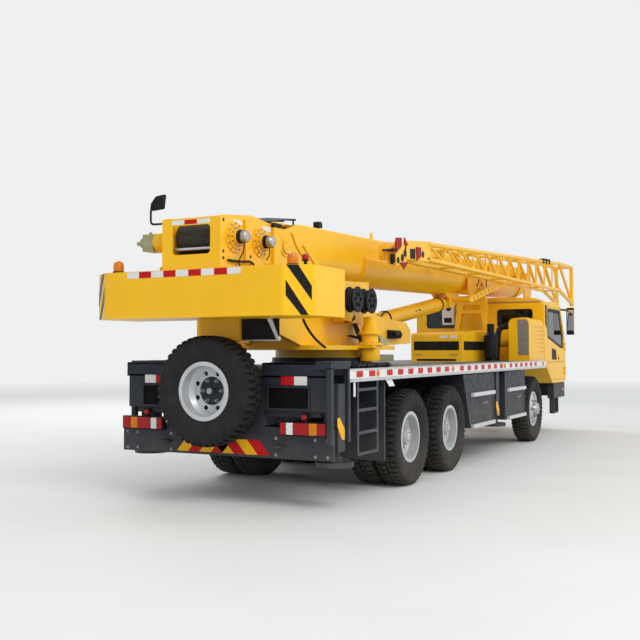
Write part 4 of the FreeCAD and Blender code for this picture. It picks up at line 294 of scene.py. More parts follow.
def rubbers_and_plastics():
    return {
        "rubber": (Finish("tyre_rubber", RUBBER, 0.82).mottle((0.028, 0.027, 0.026), 0.6, 9.0)
                   .dusty(0.22, 0.75).uneven(0.70, 0.92).bumpy(220.0, 0.25, 0.001)
                   .set(Specular_IOR_Level=0.25).done()),
        "spare": (Finish("spare_rubber", RUBBER, 0.80).mottle((0.028, 0.027, 0.026), 0.6, 9.0)
                  .uneven(0.68, 0.90).bumpy(220.0, 0.25, 0.001).set(Specular_IOR_Level=0.25).done()),
        # Black plastic; the same black also paints shade on the exhaust and inside drawn holes.
        "black": (Finish("dark_plastic", BLACK, 0.5).mottle((0.030, 0.030, 0.032), 0.5, 7.0)
                  .dusty(0.08, 1.0).uneven(0.4, 0.62).bumpy(300.0, 0.12, 0.0006)
                  .set(Specular_IOR_Level=0.12).done()),
        # Near-black for the insides of recesses: painted shade.
        "recess": (Finish("painted_recess_shade", (0.003, 0.003, 0.004), 0.7).mottle((0.007, 0.007, 0.008), 0.5, 7.0)
                   .uneven(0.6, 0.8).set(Specular_IOR_Level=0.1).done()),
        "hose": (Finish("hose_rubber", (0.016, 0.016, 0.018), 0.58).mottle((0.04, 0.04, 0.04), 0.4, 14.0)
                 .uneven(0.5, 0.68).bumpy(400.0, 0.15, 0.0005).set(Specular_IOR_Level=0.15).done()),
        "seat": (Finish("seat_cloth", (0.035, 0.037, 0.045), 0.92).mottle((0.06, 0.06, 0.07), 0.5, 30.0)
                 .bumpy(700.0, 0.35, 0.001).set(Sheen_Weight=0.3).done()),
        "glass": (Finish("window_glass", (0.030, 0.040, 0.044), 0.04)
                  .mottle((0.020, 0.027, 0.030), 0.4, 2.0).set(Transmission_Weight=0.82, IOR=1.45).done()),
    }


def darker(colour, share):
    return tuple(share * value for value in colour)


def lenses_and_tapes():
    made = {}
    for name, colour in (("red_lens", RED), ("amber_lens", AMBER), ("white_lens", WHITE)):
        lens = Finish(name, colour, 0.14).mottle(darker(colour, 0.6), 0.4, 30.0)
        made[name] = (lens.bumped(lens.weave("Y", "Z", 110), 0.35, 0.001)
                      .set(Coat_Weight=0.1, Coat_Roughness=0.05, Specular_IOR_Level=0.25).done())
    for name, colour in (("red_tape", (0.50, 0.006, 0.008)), ("white_tape", (0.74, 0.74, 0.72)),
                         ("yellow_tape", (0.85, 0.45, 0.008)), ("black_tape", (0.010, 0.010, 0.011))):
        tape = Finish(name, colour, 0.30).mottle(darker(colour, 0.75), 0.4, 12.0)
        made[name] = (tape.uneven(0.22, 0.4).bumped(tape.weave("Y", "Z", 160), 0.12, 0.0005)
                      .set(Specular_IOR_Level=0.15).done())
    return made


MATERIALS = {**paints(), **metals(), **rubbers_and_plastics(), **lenses_and_tapes()}
NODE_FINISH = {
    "chassis": ("chassis_frame", "side_equipment", "axles", "knuckle_left", "knuckle_right", "front_bumper",
                "slewing_ring", "engine_block"),
    "deck": ("deck",),
    "ladder": ("steps_and_ladders",),
    "hook": ("hook_block",),
    # The exhaust is black: partly its own dark metal, partly painted shade where it stands shadowed.
    "black": ("hose_reels", "tail_lamps", "cab_interior", "exhaust"),
    "chrome": ("luff_rod",),
    "rubber": ("front_tyre_left", "front_tyre_right", "middle_tyres_left", "middle_tyres_right",
               "rear_tyres_left", "rear_tyres_right"),
    "spare": ("spare_tyre",),
}


def finish_nodes():
    """Gives each node of the frame its material, yellow where nothing else is said."""
    by_node = {node: finish for finish, nodes in NODE_FINISH.items() for node in nodes}
    for node, piece in NODES.items():
        finish = by_node.get(node)
        if finish is None and "rim" in node:
            finish = "rim"
        if finish is None and ("beam" in node or "jack" in node):
            finish = "chassis"
        piece.data.materials.clear()
        piece.data.materials.append(MATERIALS[finish or "yellow"])


# Pieces are gathered in a mesh by small helpers, then given a body and a finish

# Radius at which a full turned form closes on its axis
CORE = 0.0005


class Piece:
    def __init__(self, name, body, finish):
        self.name = name
        self.body = body
        self.finish = finish
        self.mesh = bmesh.new()

    def corners(self, points, faces):
        made = [self.mesh.verts.new(point) for point in points]
        for face in faces:
            self.mesh.faces.new([made[index] for index in face])

    def box(self, low, high):
        (x0, y0, z0), (x1, y1, z1) = low, high
        points = [(x, y, z) for x in (x0, x1) for y in (y0, y1) for z in (z0, z1)]
        self.corners(points, [(0, 1, 3, 2), (4, 6, 7, 5), (0, 4, 5, 1), (2, 3, 7, 6), (0, 2, 6, 4),
                              (1, 5, 7, 3)])
        return self

    def side_box(self, sign, x, y, z):
        """Box over three (low, high) ranges, its Y counted outwards on the side of the sign."""
        y0, y1 = sorted((sign * y[0], sign * y[1]))
        return self.box((x[0], y0, z[0]), (x[1], y1, z[1]))

    def rod(self, start, end, radius, sides=16, end_radius=None):
        start = Vector(start)
        run = Vector(end) - start
        turn = run.to_track_quat("Z", "Y").to_matrix().to_4x4()
        place = Matrix.Translation(start + run / 2) @ turn
        bmesh.ops.create_cone(self.mesh, cap_ends=True, segments=sides, radius1=radius,
                              radius2=radius if end_radius is None else end_radius,
                              depth=run.length, matrix=place)
        return self

    def turned(self, profile, centre, axis, sides=48):
        """Closed (radius, along) profile turned about an axis through the centre."""
        turn = Vector(axis).to_track_quat("Z", "Y").to_matrix().to_4x4()
        place = Matrix.Translation(Vector(centre)) @ turn
        rings = []
        for step in range(sides):
            angle = 2 * math.pi * step / sides
            rings.append([self.mesh.verts.new(place @ Vector((radius * math.cos(angle),
                                                              radius * math.sin(angle), along)))
                          for radius, along in profile])
        for step, ring in enumerate(rings):
            following = rings[(step + 1) % sides]
            for index in range(len(profile)):
                after = (index + 1) % len(profile)
                self.mesh.faces.new((ring[index], ring[after], following[after], following[index]))
        return self

    def knob(self, profile, centre, axis, sides=32, tip=None):
        """Full turned form: its (radius, along) profile is closed on the axis, at its end or at a tip."""
        end = profile[-1][1] if tip is None else tip
        return self.turned([(CORE, profile[0][1]), *profile, (CORE, end)], centre, axis, sides)

    def hoop(self, radii, along, centre, axis, sides=24):
        """Ring of rectangular section between two radii and two places along the axis."""
        (inner, outer), (start, end) = radii, along
        return self.turned([(inner, start), (outer, start), (outer, end), (inner, end)],
                           centre, axis, sides)

    def slab(self, outline, run):
        """Flat outline of 3-D points pushed along the run."""
        near = [self.mesh.verts.new(Vector(point)) for point in outline]
        far = [self.mesh.verts.new(Vector(point) + Vector(run)) for point in outline]
        self.mesh.faces.new(near)
        self.mesh.faces.new(list(reversed(far)))
        for index in range(len(near)):
            after = (index + 1) % len(near)
            self.mesh.faces.new((near[index], far[index], far[after], near[after]))
        return self

    def plate(self, outline, y, thickness):
        """Outline of (x, z) points that starts at one Y and is as thick as said along Y."""
        return self.slab([(x, y, z) for x, z in outline], (0, thickness, 0))

    def nut(self, place, axis, radius, height):
        """Hexagon head with a washer and a stud end."""
        place = Vector(place)
        axis = Vector(axis).normalized()
        self.rod(place, place + axis * height * 0.2, radius * 1.35, 12)
        self.rod(place + axis * height * 0.2, place + axis * height, radius, 6, radius * 0.92)
        self.rod(place + axis * height, place + axis * height * 1.35, radius * 0.5, 8)
        return self

    def nuts(self, centre, axis, circle, count, radius, height):
        """Nuts in even steps on a circle."""
        turn = Vector(axis).normalized().to_track_quat("Z", "Y")
        for step in range(count):
            angle = 2 * math.pi * step / count
            offset = turn @ Vector((circle * math.cos(angle), circle * math.sin(angle), 0))
            self.nut(Vector(centre) + offset, axis, radius, height)
        return self

    def pipe(self, points, radius, sides=10):
        """Round tube straight from point to point, with a mitred ring at each."""
        path = [Vector(point) for point in points]
        ring = None
        for index, point in enumerate(path):
            before = path[max(index - 1, 0)]
            after = path[min(index + 1, len(path) - 1)]
            turn = (after - before).to_track_quat("Z", "Y")
            following = [self.mesh.verts.new(point + turn @ Vector((
                radius * math.cos(2 * math.pi * k / sides), radius * math.sin(2 * math.pi * k / sides), 0)))
                for k in range(sides)]
            if ring:
                shift = min(range(sides), key=lambda s: (ring[0].co - following[s].co).length)
                following = following[shift:] + following[:shift]
                for k in range(sides):
                    self.mesh.faces.new((ring[k], ring[(k + 1) % sides], following[(k + 1) % sides],
                                         following[k]))
            else:
                self.mesh.faces.new(list(reversed(following)))
            ring = following
        self.mesh.faces.new(ring)
        return self

    def done(self, bevel=0.0, angle=32.0, replaces=()):
        """Makes the object: smooth within the angle, its edges rounded by the bevel."""
        bmesh.ops.recalc_face_normals(self.mesh, faces=self.mesh.faces)
        data = bpy.data.meshes.new(self.name)
        self.mesh.to_mesh(data)
        self.mesh.free()
        data.shade_smooth()
        data.set_sharp_from_angle(angle=math.radians(angle))
        made = bpy.data.objects.new(self.name, data)
        bpy.context.scene.collection.objects.link(made)
        data.materials.append(MATERIALS[self.finish])
        if bevel:
            rounding = made.modifiers.new("rounding", "BEVEL")
            rounding.width = bevel
            rounding.segments = 2
            rounding.limit_method = "ANGLE"
            rounding.angle_limit = math.radians(40)
        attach(made, self.body)
        if replaces:
            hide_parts(*replaces)
        return made


def curve(name, body, finish, points, radius, steps=10):
    """Round hose on a smooth spline through the frame's points."""
    data = bpy.data.curves.new(name, "CURVE")
    data.dimensions = "3D"
    data.resolution_u = steps
    data.bevel_depth = radius
    data.bevel_resolution = 3
    data.use_fill_caps = True
    spline = data.splines.new("NURBS")
    spline.points.add(len(points) - 1)
    for place, point in zip(spline.points, points):
        place.co = (*point, 1.0)
    spline.order_u = 3
    spline.use_endpoint_u = True
    data.materials.append(MATERIALS[finish])
    made = bpy.data.objects.new(name, data)
    bpy.context.scene.collection.objects.link(made)
    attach(made, body)


def hexagon(radius, along, size):
    """Six (radius, along) points of a rope's or hose's section, for one turn of a coil."""
    return [(radius + size * math.cos(math.radians(60 * k)), along + size * math.sin(math.radians(60 * k)))
            for k in range(6)]


# Tyres: a rounded casing with a block tread, in the form of the solid it stands for

BEAD_RADIUS = 0.262
TREAD_DEPTH = 0.021
TREAD_PITCHES = 46
CASING = [
    (BEAD_RADIUS + 0.001, -0.093), (0.292, -0.096), (0.315, -0.118), (0.352, -0.134),
    (0.395, -0.1435), (0.435, -0.1455), (0.470, -0.143), (0.497, -0.135),
    (0.515, -0.124), (TYRE_RADIUS - TREAD_DEPTH - 0.003, -0.112),
    (TYRE_RADIUS - TREAD_DEPTH, -0.060), (TYRE_RADIUS - TREAD_DEPTH, 0.0),
]
SIDEWALL_RINGS = ((0.330, 0.122, 0.004), (0.402, 0.1425, 0.003), (0.462, 0.1425, 0.003))
# Axle, its place, how far out its tyres stand, then its nuts' face and its hub's tip
WHEELS = (("front", AXLE_1_X, (1.103,), 1.236, 1.296), ("middle", AXLE_2_X, (1.103, 0.781), 1.061, 1.181),
          ("rear", AXLE_3_X, (1.103, 0.781), 1.061, 1.181))
SPARE_FACE_X = SPARE.x + 0.042


def add_tyre(piece, centre, axis):
    profile = CASING + [(radius, -along) for radius, along in reversed(CASING[:-1])]
    piece.turned(profile, centre, axis, 96)
    turn = Vector(axis).to_track_quat("Z", "Y")
    centre = Vector(centre)
    pitch = 2 * math.pi / TREAD_PITCHES
    low = TYRE_RADIUS - TREAD_DEPTH - 0.004
    high = TYRE_RADIUS - 0.0005

    def spot(radius, angle, along):
        return centre + turn @ Vector((radius * math.cos(angle), radius * math.sin(angle), along))

    def block(corner_pairs):
        """Block over (angle share, along, top radius, bottom radius) corners."""
        points = [spot(base, start + share * pitch, along) for share, along, _, base in corner_pairs]
        points += [spot(top, start + share * pitch, along) for share, along, top, _ in corner_pairs]
        count = len(corner_pairs)
        faces = [tuple(range(count)), tuple(range(2 * count - 1, count - 1, -1))]
        faces += [(k, (k + 1) % count, count + (k + 1) % count, count + k) for k in range(count)]
        piece.corners(points, faces)

    for step in range(TREAD_PITCHES):
        for side in (-1, 1):
            start = step * pitch + (pitch / 2 if side > 0 else 0)
            block([(0.06, side * 0.064, high, low), (0.64, side * 0.058, high, low),
                   (0.56, side * 0.114, high - 0.004, low), (0.54, side * 0.1425, 0.500, 0.466),
                   (0.12, side * 0.1425, 0.500, 0.466), (0.12, side * 0.114, high - 0.004, low)])
            block([(0.05, side * 0.006, high, low), (0.70, side * 0.010, high, low),
                   (0.84, side * 0.034, high, low), (0.66, side * 0.051, high, low),
                   (0.10, side * 0.055, high, low), (-0.06, side * 0.030, high, low)])
    for radius, along, proud in SIDEWALL_RINGS:
        for side in (-1, 1):
            foot = side * (along - 0.004)
            top = side * (along + proud * 0.6)
            piece.turned([(radius - 0.004, foot), (radius - 0.001, top), (radius + 0.001, top),
                          (radius + 0.004, foot)], centre, axis, 72)


def wheels():
    """Treaded tyres, wheel nuts and hub caps."""
    for side, sign in SIDES:
        for axle, x, tracks, face, tip in WHEELS:
            twin = "s" if len(tracks) > 1 else ""
            body = "%s_wheel%s_%s" % (axle, twin, side)
            tyre = Piece("tyre%s_%s_%s" % (twin, axle, side), body, "rubber")
            for y in tracks:
                add_tyre(tyre, (x, sign * y, WHEEL_Z), (0, sign, 0))
            tyre.done(replaces=("%s_tyre%s_%s" % (axle, twin, side),))
            nuts = Piece("nuts_%s_%s" % (axle, side), body, "steel")
            nuts.nuts((x, sign * face, WHEEL_Z), (0, sign, 0), 0.132, 10, 0.013, 0.026)
            nuts.nuts((x, sign * tip, WHEEL_Z), (0, sign, 0), 0.055, 8, 0.006, 0.010)
            nuts.done()
            cap = Piece("hub_cap_%s_%s" % (axle, side), body, "rim")
            cap.knob([(0.042, 0), (0.042, 0.006), (0.030, 0.010)], (x, sign * tip, WHEEL_Z), (0, sign, 0))
            cap.done()
    spare = Piece("tyre_spare", "chassis", "spare")
    add_tyre(spare, SPARE, BACK)
    spare.done(replaces=("spare_tyre",))
    nuts = Piece("spare_nuts", "chassis", "steel")
    nuts.nuts((SPARE_FACE_X + 0.014, 0, SPARE.z), BACK, 0.110, 6, 0.014, 0.034)
    nuts.rod((SPARE_FACE_X + 0.01, 0, SPARE.z), (SPARE_FACE_X - 0.05, 0, SPARE.z), 0.030, 24)
    nuts.done(bevel=0.002)


# Rear end: lamps, chevrons, reflectors, panels and bolts

LAMP_SEGMENTS = (("red_lens", 0.065), ("white_lens", 0.075), ("red_lens", 0.165), ("amber_lens", 0.09),
                 ("red_lens", 0.095))
LAMP_START = 0.695
LAMP_GAP = 0.002
LAMP_Z = (0.722, 0.835)
TAPE_Z = (0.505, 0.650)
TAPE_HALF = 0.55
TAPE_STRIPES = 8
TAPE_LEAN = 0.85
PLATE_WIDTH = 0.140
LOCKER_Y = (0.535, 0.975)
LOCKER_Z = (0.966, 1.164)
LOCKER_BAR = 0.016
JACK_FRAME_Y = (1.215, 1.264)


def rear_lamps():
    lamp_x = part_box("tail_lamps")[0].x
    for side, sign in SIDES:
        start = LAMP_START
        lenses = {}
        for finish, width in LAMP_SEGMENTS:
            if finish not in lenses:
                lenses[finish] = Piece("tail_%s_%s" % (finish, side), "chassis", finish)
            lenses[finish].side_box(sign, (lamp_x - 0.026, lamp_x - 0.002),
                                    (start + 0.003, start + width - 0.001), LAMP_Z)
            start += width + LAMP_GAP
        for lens in lenses.values():
            lens.done(bevel=0.005)
        hood = Piece("lamp_housing_" + side, "chassis", "black")
        hood.side_box(sign, (lamp_x - 0.008, FRAME_REAR_X), (0.688, 1.214),
                      (LAMP_Z[0] - 0.010, LAMP_Z[1] + 0.010))
        hood.done(bevel=0.004)
        small = Piece("stop_lamp_" + side, "chassis", "red_lens")
        small.knob([(0.030, 0.0), (0.030, 0.012), (0.022, 0.020)], (FRAME_REAR_X - 0.004, sign * 0.93, 0.885),
                   BACK, 28, 0.022)
        small.done()
        bracket = Piece("stop_lamp_bracket_" + side, "chassis", "black")
        bracket.side_box(sign, (FRAME_REAR_X - 0.004, FRAME_REAR_X + 0.012), (0.895, 0.965), (0.780, 0.925))
        bracket.done(bevel=0.003)


def chevrons():
    """Red and yellow stripes that lean towards the middle from both sides."""
    x = FRAME_REAR_X
    low, high = TAPE_Z
    pitch = 2 * TAPE_HALF / TAPE_STRIPES
    for parity, finish in enumerate(("red_tape", "yellow_tape")):
        piece = Piece("chevron_" + finish, "chassis", finish)
        for index in range(parity, TAPE_STRIPES, 2):
            y = -TAPE_HALF + pitch * index
            lean = (high - low) * TAPE_LEAN * (1 if y + pitch / 2 < 0 else -1)
            piece.slab([(x, y, low), (x, y + pitch, low), (x, y + pitch + lean, high), (x, y + lean, high)],
                       (-0.0025, 0, 0))
        piece.done()


def rear_details():
    x = FRAME_REAR_X
    for finish, edge in (("red_tape", 0.675), ("white_tape", 0.820)):
        plates = Piece("rear_plate_" + finish, "chassis", finish)
        for sign in (-1, 1):
            plates.side_box(sign, (x - 0.006, x), (edge, edge + PLATE_WIDTH), (1.190, 1.275))
        plates.done(bevel=0.001)
    # The locker's inside is a near-black sheet in a frame: painted shade in the recess.
    locker = Piece("rear_locker", "chassis", "recess")
    bars = Piece("rear_locker_frame", "chassis", "chassis")
    (y0, y1), (z0, z1) = LOCKER_Y, LOCKER_Z
    outer_y = (y0 - LOCKER_BAR, y1 + LOCKER_BAR)
    for sign in (-1, 1):
        locker.side_box(sign, (x - 0.003, x), LOCKER_Y, (z0 - 0.001, z1 + 0.001))
        for y, z in ((outer_y, (z0 - LOCKER_BAR, z0)), (outer_y, (z1, z1 + LOCKER_BAR)),
                     ((outer_y[0], y0), LOCKER_Z), ((y1, outer_y[1]), LOCKER_Z)):
            bars.side_box(sign, (x - 0.014, x), y, z)
    locker.done()
    bars.done(bevel=0.002)
    panels = Piece("rear_top_panels", "chassis", "chassis")
    for side, sign in SIDES:
        beam_low, beam_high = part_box("rear_beam_" + side)
        legs = ((beam_low.x - 0.155, beam_low.x - 0.095), (beam_high.x + 0.028, beam_high.x + 0.080))
        panels.side_box(sign, (x, x + 0.020), (0.46, 1.20), (1.26, 1.405))
        panels.side_box(sign, (x, x + 0.10), (0.46, 1.20), (1.385, 1.405))
        panels.side_box(sign, (legs[0][0], legs[1][1]), (1.10, JACK_FRAME_Y[1]), (1.345, 1.420))
        for leg in legs:
            panels.side_box(sign, leg, JACK_FRAME_Y, (0.64, 1.36))
    panels.done(bevel=0.003)
    bolts = Piece("rear_bolts", "chassis", "steel")
    for y in (-1.18, -1.05, -0.62, 0.62, 1.05, 1.18):
        for z in (0.515, 0.675):
            bolts.nut((x, y, z), BACK, 0.012, 0.014)
    bolts.done()
    eyes = Piece("tow_eyes", "chassis", "chassis")
    for y in (-0.66, 0.66):
        eyes.hoop((0.030, 0.052), (-0.012, 0.012), (x - 0.052, y, 0.60), UP)
        eyes.box((x - 0.030, y - 0.04, 0.588), (x, y + 0.04, 0.612))
    eyes.done(bevel=0.003)


# Deck rail: white band with red squares, marker lamps and a bright lower edge

RAIL_LOW_Z = 1.22
RAIL_SQUARE = 0.155
RAIL_PITCH = 0.304
# Groups of squares: centre of the first, how many, and the marker lamp after them
RAIL_GROUPS = ((-5.345, 2, -4.900), (-4.580, 7, -2.530), (-2.173, 7, -0.176), (0.177, 6, 2.200))
HANGING_PLATES = (((-4.672, 1.216), (-4.509, 1.216), (-4.426, 1.139), (-4.578, 1.139)),
                  ((-5.470, 1.216), (-5.430, 1.216), (-5.430, 1.070), (-5.470, 1.070)))


def deck_rails():
    """Both rails, with the pipes that lie on the deck and two plates that hang from the right rail."""
    low_z = RAIL_LOW_Z
    face = DECK_SIDE_Y
    white = Piece("rail_white", "chassis", "white_tape")
    red = Piece("rail_red", "chassis", "red_tape")
    lip = Piece("rail_lip", "chassis", "aluminium")
    lamps = Piece("marker_lamps", "chassis", "amber_lens")
    for sign in (-1, 1):
        white.side_box(sign, (DECK_LOW.x + 0.005, DECK_HIGH.x - 0.005), (face, face + 0.002),
                       (low_z + 0.024, DECK_TOP_Z - 0.010))
        for z in ((low_z - 0.006, low_z + 0.022), (DECK_TOP_Z - 0.010, DECK_TOP_Z + 0.004)):
            lip.side_box(sign, (DECK_LOW.x, DECK_HIGH.x), (face - 0.01, face + 0.008), z)
        for first, count, lamp_x in RAIL_GROUPS:
            for index in range(count):
                x = first + RAIL_PITCH * index - RAIL_SQUARE / 2
                red.side_box(sign, (x, x + RAIL_SQUARE), (face + 0.001, face + 0.003),
                             (low_z + 0.038, low_z + 0.100))
            lamps.knob([(0.034, 0.0), (0.032, 0.010), (0.018, 0.017)],
                       (lamp_x, sign * (face + 0.002), low_z + 0.070), (0, sign, 0), 24, 0.018)
    white.done()
    red.done()
    lip.done(bevel=0.002)
    lamps.done()
    pipes = Piece("deck_pipes", "chassis", "hose")
    for y in (-1.150, -1.105):
        pipes.pipe([(DECK_LOW.x + 0.33, y, 1.366), (-4.30, y, 1.366)], 0.018, 14)
    for x in (-5.20, -4.95, -4.70, -4.42):
        pipes.box((x, -1.180, DECK_TOP_Z), (x + 0.035, -1.075, 1.394))
    pipes.done(bevel=0.002)
    plates = Piece("rail_hanging_plates", "chassis", "white")
    for outline in HANGING_PLATES:
        plates.plate(outline, 0.004 - face, 0.006)
    plates.done(bevel=0.001)


# Counterweight: slanted black stripes on the corners and reflective tape on its upper edge

WEIGHT_CORNER = Vector((0.175, 0.23))
WEIGHT_CORNER_Y = 1.02
BAND_PITCH = 0.146
# Bands of tape: place of the first one's edge, how many, rear face, bottom and top
BANDS = ((0.74, 9, WEIGHT_LOW.x - 0.002, WEIGHT_HIGH.z - 0.068, WEIGHT_HIGH.z - 0.006),
         (0.22, 3, REAR_X + 0.023, 2.731, 2.772))


def weight_stripes():
    low_z, high_z = WEIGHT_LOW.z, WEIGHT_HIGH.z
    length = WEIGHT_CORNER.length
    shapes = (
        ((0.030, high_z - 0.003), (0.140, high_z - 0.003), (length - 0.025, 2.105), (length - 0.025, 1.975)),
        ((0.025, 2.160), (0.235, low_z + 0.003), (0.165, low_z + 0.003), (0.025, 2.020)),
    )
    stripes = Piece("weight_stripes", "upper", "black_tape")
    for sign in (-1, 1):
        start = Vector((WEIGHT_LOW.x, sign * WEIGHT_CORNER_Y, 0))
        along = Vector((WEIGHT_CORNER.x, sign * WEIGHT_CORNER.y, 0)) / length
        out = Vector((-abs(along.y), sign * abs(along.x), 0)) * 0.0025
        for shape in shapes:
            stripes.slab([start + along * share + Vector((0, 0, z)) for share, z in shape], out)
    stripes.done()
    for parity, finish in enumerate(("white_tape", "red_tape")):
        band = Piece("weight_band_" + finish, "upper", finish)
        for first, count, x, bottom, top in BANDS:
            for index in range(parity, count, 2):
                y = first - BAND_PITCH * (index + 1)
                band.box((x, y, bottom), (x + 0.002, y + BAND_PITCH, top))
        band.done()
    eyes = Piece("weight_lift_eyes", "upper", "yellow")
    for x in (WEIGHT_LOW.x + 0.42, WEIGHT_HIGH.x - 0.12):
        for y in (-0.62, 0.62):
            eyes.hoop((0.022, 0.048), (-0.010, 0.010), (x, y, high_z + 0.040), ACROSS)
    eyes.done(bevel=0.002)


def rear_hatch():
    """Dark panel under the counterweight with a bright edge."""
    panel = Piece("rear_hatch_panel", "upper", "black")
    panel.box((REAR_X + 0.66, -0.60, 1.630), (REAR_X + 0.68, -0.172, 1.838))
    panel.done(bevel=0.003)
    edge = Piece("rear_hatch_edge", "upper", "aluminium")
    x = REAR_X + 0.65
    edge.slab([(x, -0.470, 1.838), (x, -0.530, 1.838), (x, -0.612, 1.628), (x, -0.585, 1.622)], (0.04, 0, 0))
    edge.box((x, -0.600, 1.618), (x + 0.04, -0.172, 1.632))
    edge.done(bevel=0.002)


# Winches: wound rope, sensors on the right, motors on the left, bolted flanges

ROPE_RADIUS = 0.009
ROPE_LAYERS = (0.144, 0.159)


def winch_ropes():
    for name, drum in DRUMS:
        coils = Piece(name + "_winch_rope", name + "_winch", "rope")
        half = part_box(name + "_winch_drum")[1].y - 0.030
        count = int(half / ROPE_RADIUS)
        for layer, radius in enumerate(ROPE_LAYERS):
            for index in range(count - layer):
                y = -half + ROPE_RADIUS * (1 + layer) + index * 2 * ROPE_RADIUS
                coils.turned(hexagon(radius, y, ROPE_RADIUS), (drum.x, 0, drum.z), ACROSS, 40)
        coils.done(angle=80)


def winch_ends():
    """Sensor rings and caps, motors with their valve blocks, and bolts on both ends of each drum."""
    caps = Piece("winch_sensor_caps", "upper", "steel")
    rings = Piece("winch_sensor_rings", "upper", "black")
    bolts = Piece("winch_bolts", "upper", "steel")
    collar = Piece("winch_motor_collars", "upper", "yellow")
    block = Piece("winch_motor_blocks", "upper", "valve")
    nose = Piece("winch_motor_noses", "upper", "valve")
    for _, drum in DRUMS:
        x, z = drum.x, drum.z
        centre = (x, 0, z)
        rings.knob([(0.066, -0.394), (0.066, -0.435)], centre, ACROSS)
        caps.knob([(0.060, -0.433), (0.060, -0.480), (0.050, -0.492)], centre, ACROSS, tip=-0.496)
        bolts.nuts((x, -0.366, z), (0, -1, 0), 0.090, 12, 0.008, 0.012)
        bolts.nuts((x, 0.396, z), ACROSS, 0.103, 12, 0.008, 0.012)
        collar.knob([(0.128, 0.396), (0.128, 0.420), (0.100, 0.430), (0.100, 0.560)], centre, ACROSS, 40)
        block.box((x - 0.095, 0.560, z - 0.095), (x + 0.095, 0.690, z + 0.075))
        for shift in (-0.05, 0.04):
            block.rod((x + shift, 0.62, z + 0.075), (x + shift, 0.62, z + 0.100), 0.018, 6)
        nose.knob([(0.070, 0.690), (0.066, 0.735), (0.045, 0.765), (0.024, 0.775), (0.020, 0.820)],
                  centre, ACROSS, tip=0.822)
    caps.done()
    rings.done()
    bolts.done()
    collar.done(bevel=0.002)
    block.done(bevel=0.004)
    nose.done()
    bar = Piece("winch_roller_bar", "upper", "aluminium")
    bar.rod((REAR_X + 0.095, -0.215, 2.50), (REAR_X + 0.095, 0.335, 2.50), 0.016, 20)
    bar.done()


# Bolts of the slewing ring: height, circle and how many
LOWER_RING = (1.36, 0.615, 48)
UPPER_RING = (1.58, 0.54, 20)
PIN_PLATE_Y = (0.352, 0.366)


def ring_bolts():
    """Bolts round the slewing ring, and the plates on the boom's and the luffing cylinder's pins."""
    lower = Piece("ring_bolts", "chassis", "steel")
    height, circle, count = LOWER_RING
    lower.nuts((SLEW.x, 0, height), UP, circle, count, 0.011, 0.020)
    lower.done()
    upper = Piece("ring_bolts_upper", "upper", "steel")
    height, circle, count = UPPER_RING
    upper.nuts((SLEW.x, 0, height), UP, circle, count, 0.012, 0.020)
    upper.done()
    pins = Piece("pivot_pin_plates", "upper", "yellow")
    for (x, _, z), radius in ((BOOM_PIVOT, 0.075), (LUFF_FOOT, 0.060)):
        for sign in (-1, 1):
            inner, outer = (sign * y for y in PIN_PLATE_Y)
            pins.rod((x, inner, z), (x, outer, z), radius, 32)
            pins.nuts((x, outer, z), (0, sign, 0), radius * 0.6, 3, 0.008, 0.010)
    pins.done(bevel=0.002)


# Windows: tinted panes with dark rubber round them

PANE = 0.006
RUBBER_EDGE = 0.022
RUBBER_DEPTH = 0.016
DOOR_WINDOW = [(CAB_REAR_X + 0.300, 1.78, 0.04), (CAB_REAR_X + 0.300, 2.23, 0.04),
               (CAB_FRONT_X - 0.480, 2.22, 0.04), (CAB_FRONT_X - 0.230, 1.76, 0.04),
               (CAB_FRONT_X - 0.230, 1.60, 0.04), (CAB_FRONT_X - 0.420, 1.60, 0.04)]
REAR_WINDOW = [(0.35, 1.93, 0.06), (1.0, 1.93, 0.06), (1.0, 2.26, 0.06), (0.35, 2.26, 0.06)]
WINDSHIELD_LINE = [(-0.355, 2.30), (-0.252, 2.10), (-0.132, 1.90), (-0.075, 1.79), (-0.038, 1.70),
                   (-0.020, 1.62), (-0.015, 1.56)]
WINDSHIELD_HALF = 1.045
WINDSHIELD_INSET = 0.012
WIPERS_Y = (-0.55, 0.35)
OPERATOR_DOOR_WINDOW = [(0.62, 2.10, 0.04), (0.62, 2.94, 0.04), (1.18, 2.94, 0.04), (1.50, 2.30, 0.04),
                        (1.48, 2.10, 0.04)]
OPERATOR_SIDE_WINDOW = [(0.12, 2.25, 0.05), (0.12, 3.00, 0.05), (1.23, 3.01, 0.05), (1.56, 2.35, 0.05),
                        (1.50, 2.25, 0.05)]
OPERATOR_REAR_WINDOW = [(0.58, 2.30, 0.05), (1.14, 2.30, 0.05), (1.14, 2.98, 0.05), (0.58, 2.98, 0.05)]
OPERATOR_FRONT_WINDOW = [(0.58, 0.02, 0.04), (1.14, 0.02, 0.04), (1.14, 0.68, 0.04), (0.58, 0.68, 0.04)]


def window(name, body, outline, out):
    """Pane in a flat outline, with a rubber edge that stands on both of its faces."""
    points = [Vector(point) for point in outline]
    out = Vector(out)
    Piece(name, body, "glass").slab([p - out * PANE / 2 for p in points], out * PANE).done()
    centre = sum(points, Vector()) / len(points)
    inner = [centre + (p - centre) * (1 - RUBBER_EDGE / max((p - centre).length, RUBBER_EDGE * 2))
             for p in points]
    edge = Piece(name + "_rubber", body, "black")
    for index in range(len(points)):
        after = (index + 1) % len(points)
        loop = [points[index], points[after], inner[after], inner[index]]
        edge.slab([p - out * RUBBER_DEPTH / 2 for p in loop], out * RUBBER_DEPTH)
    edge.done()


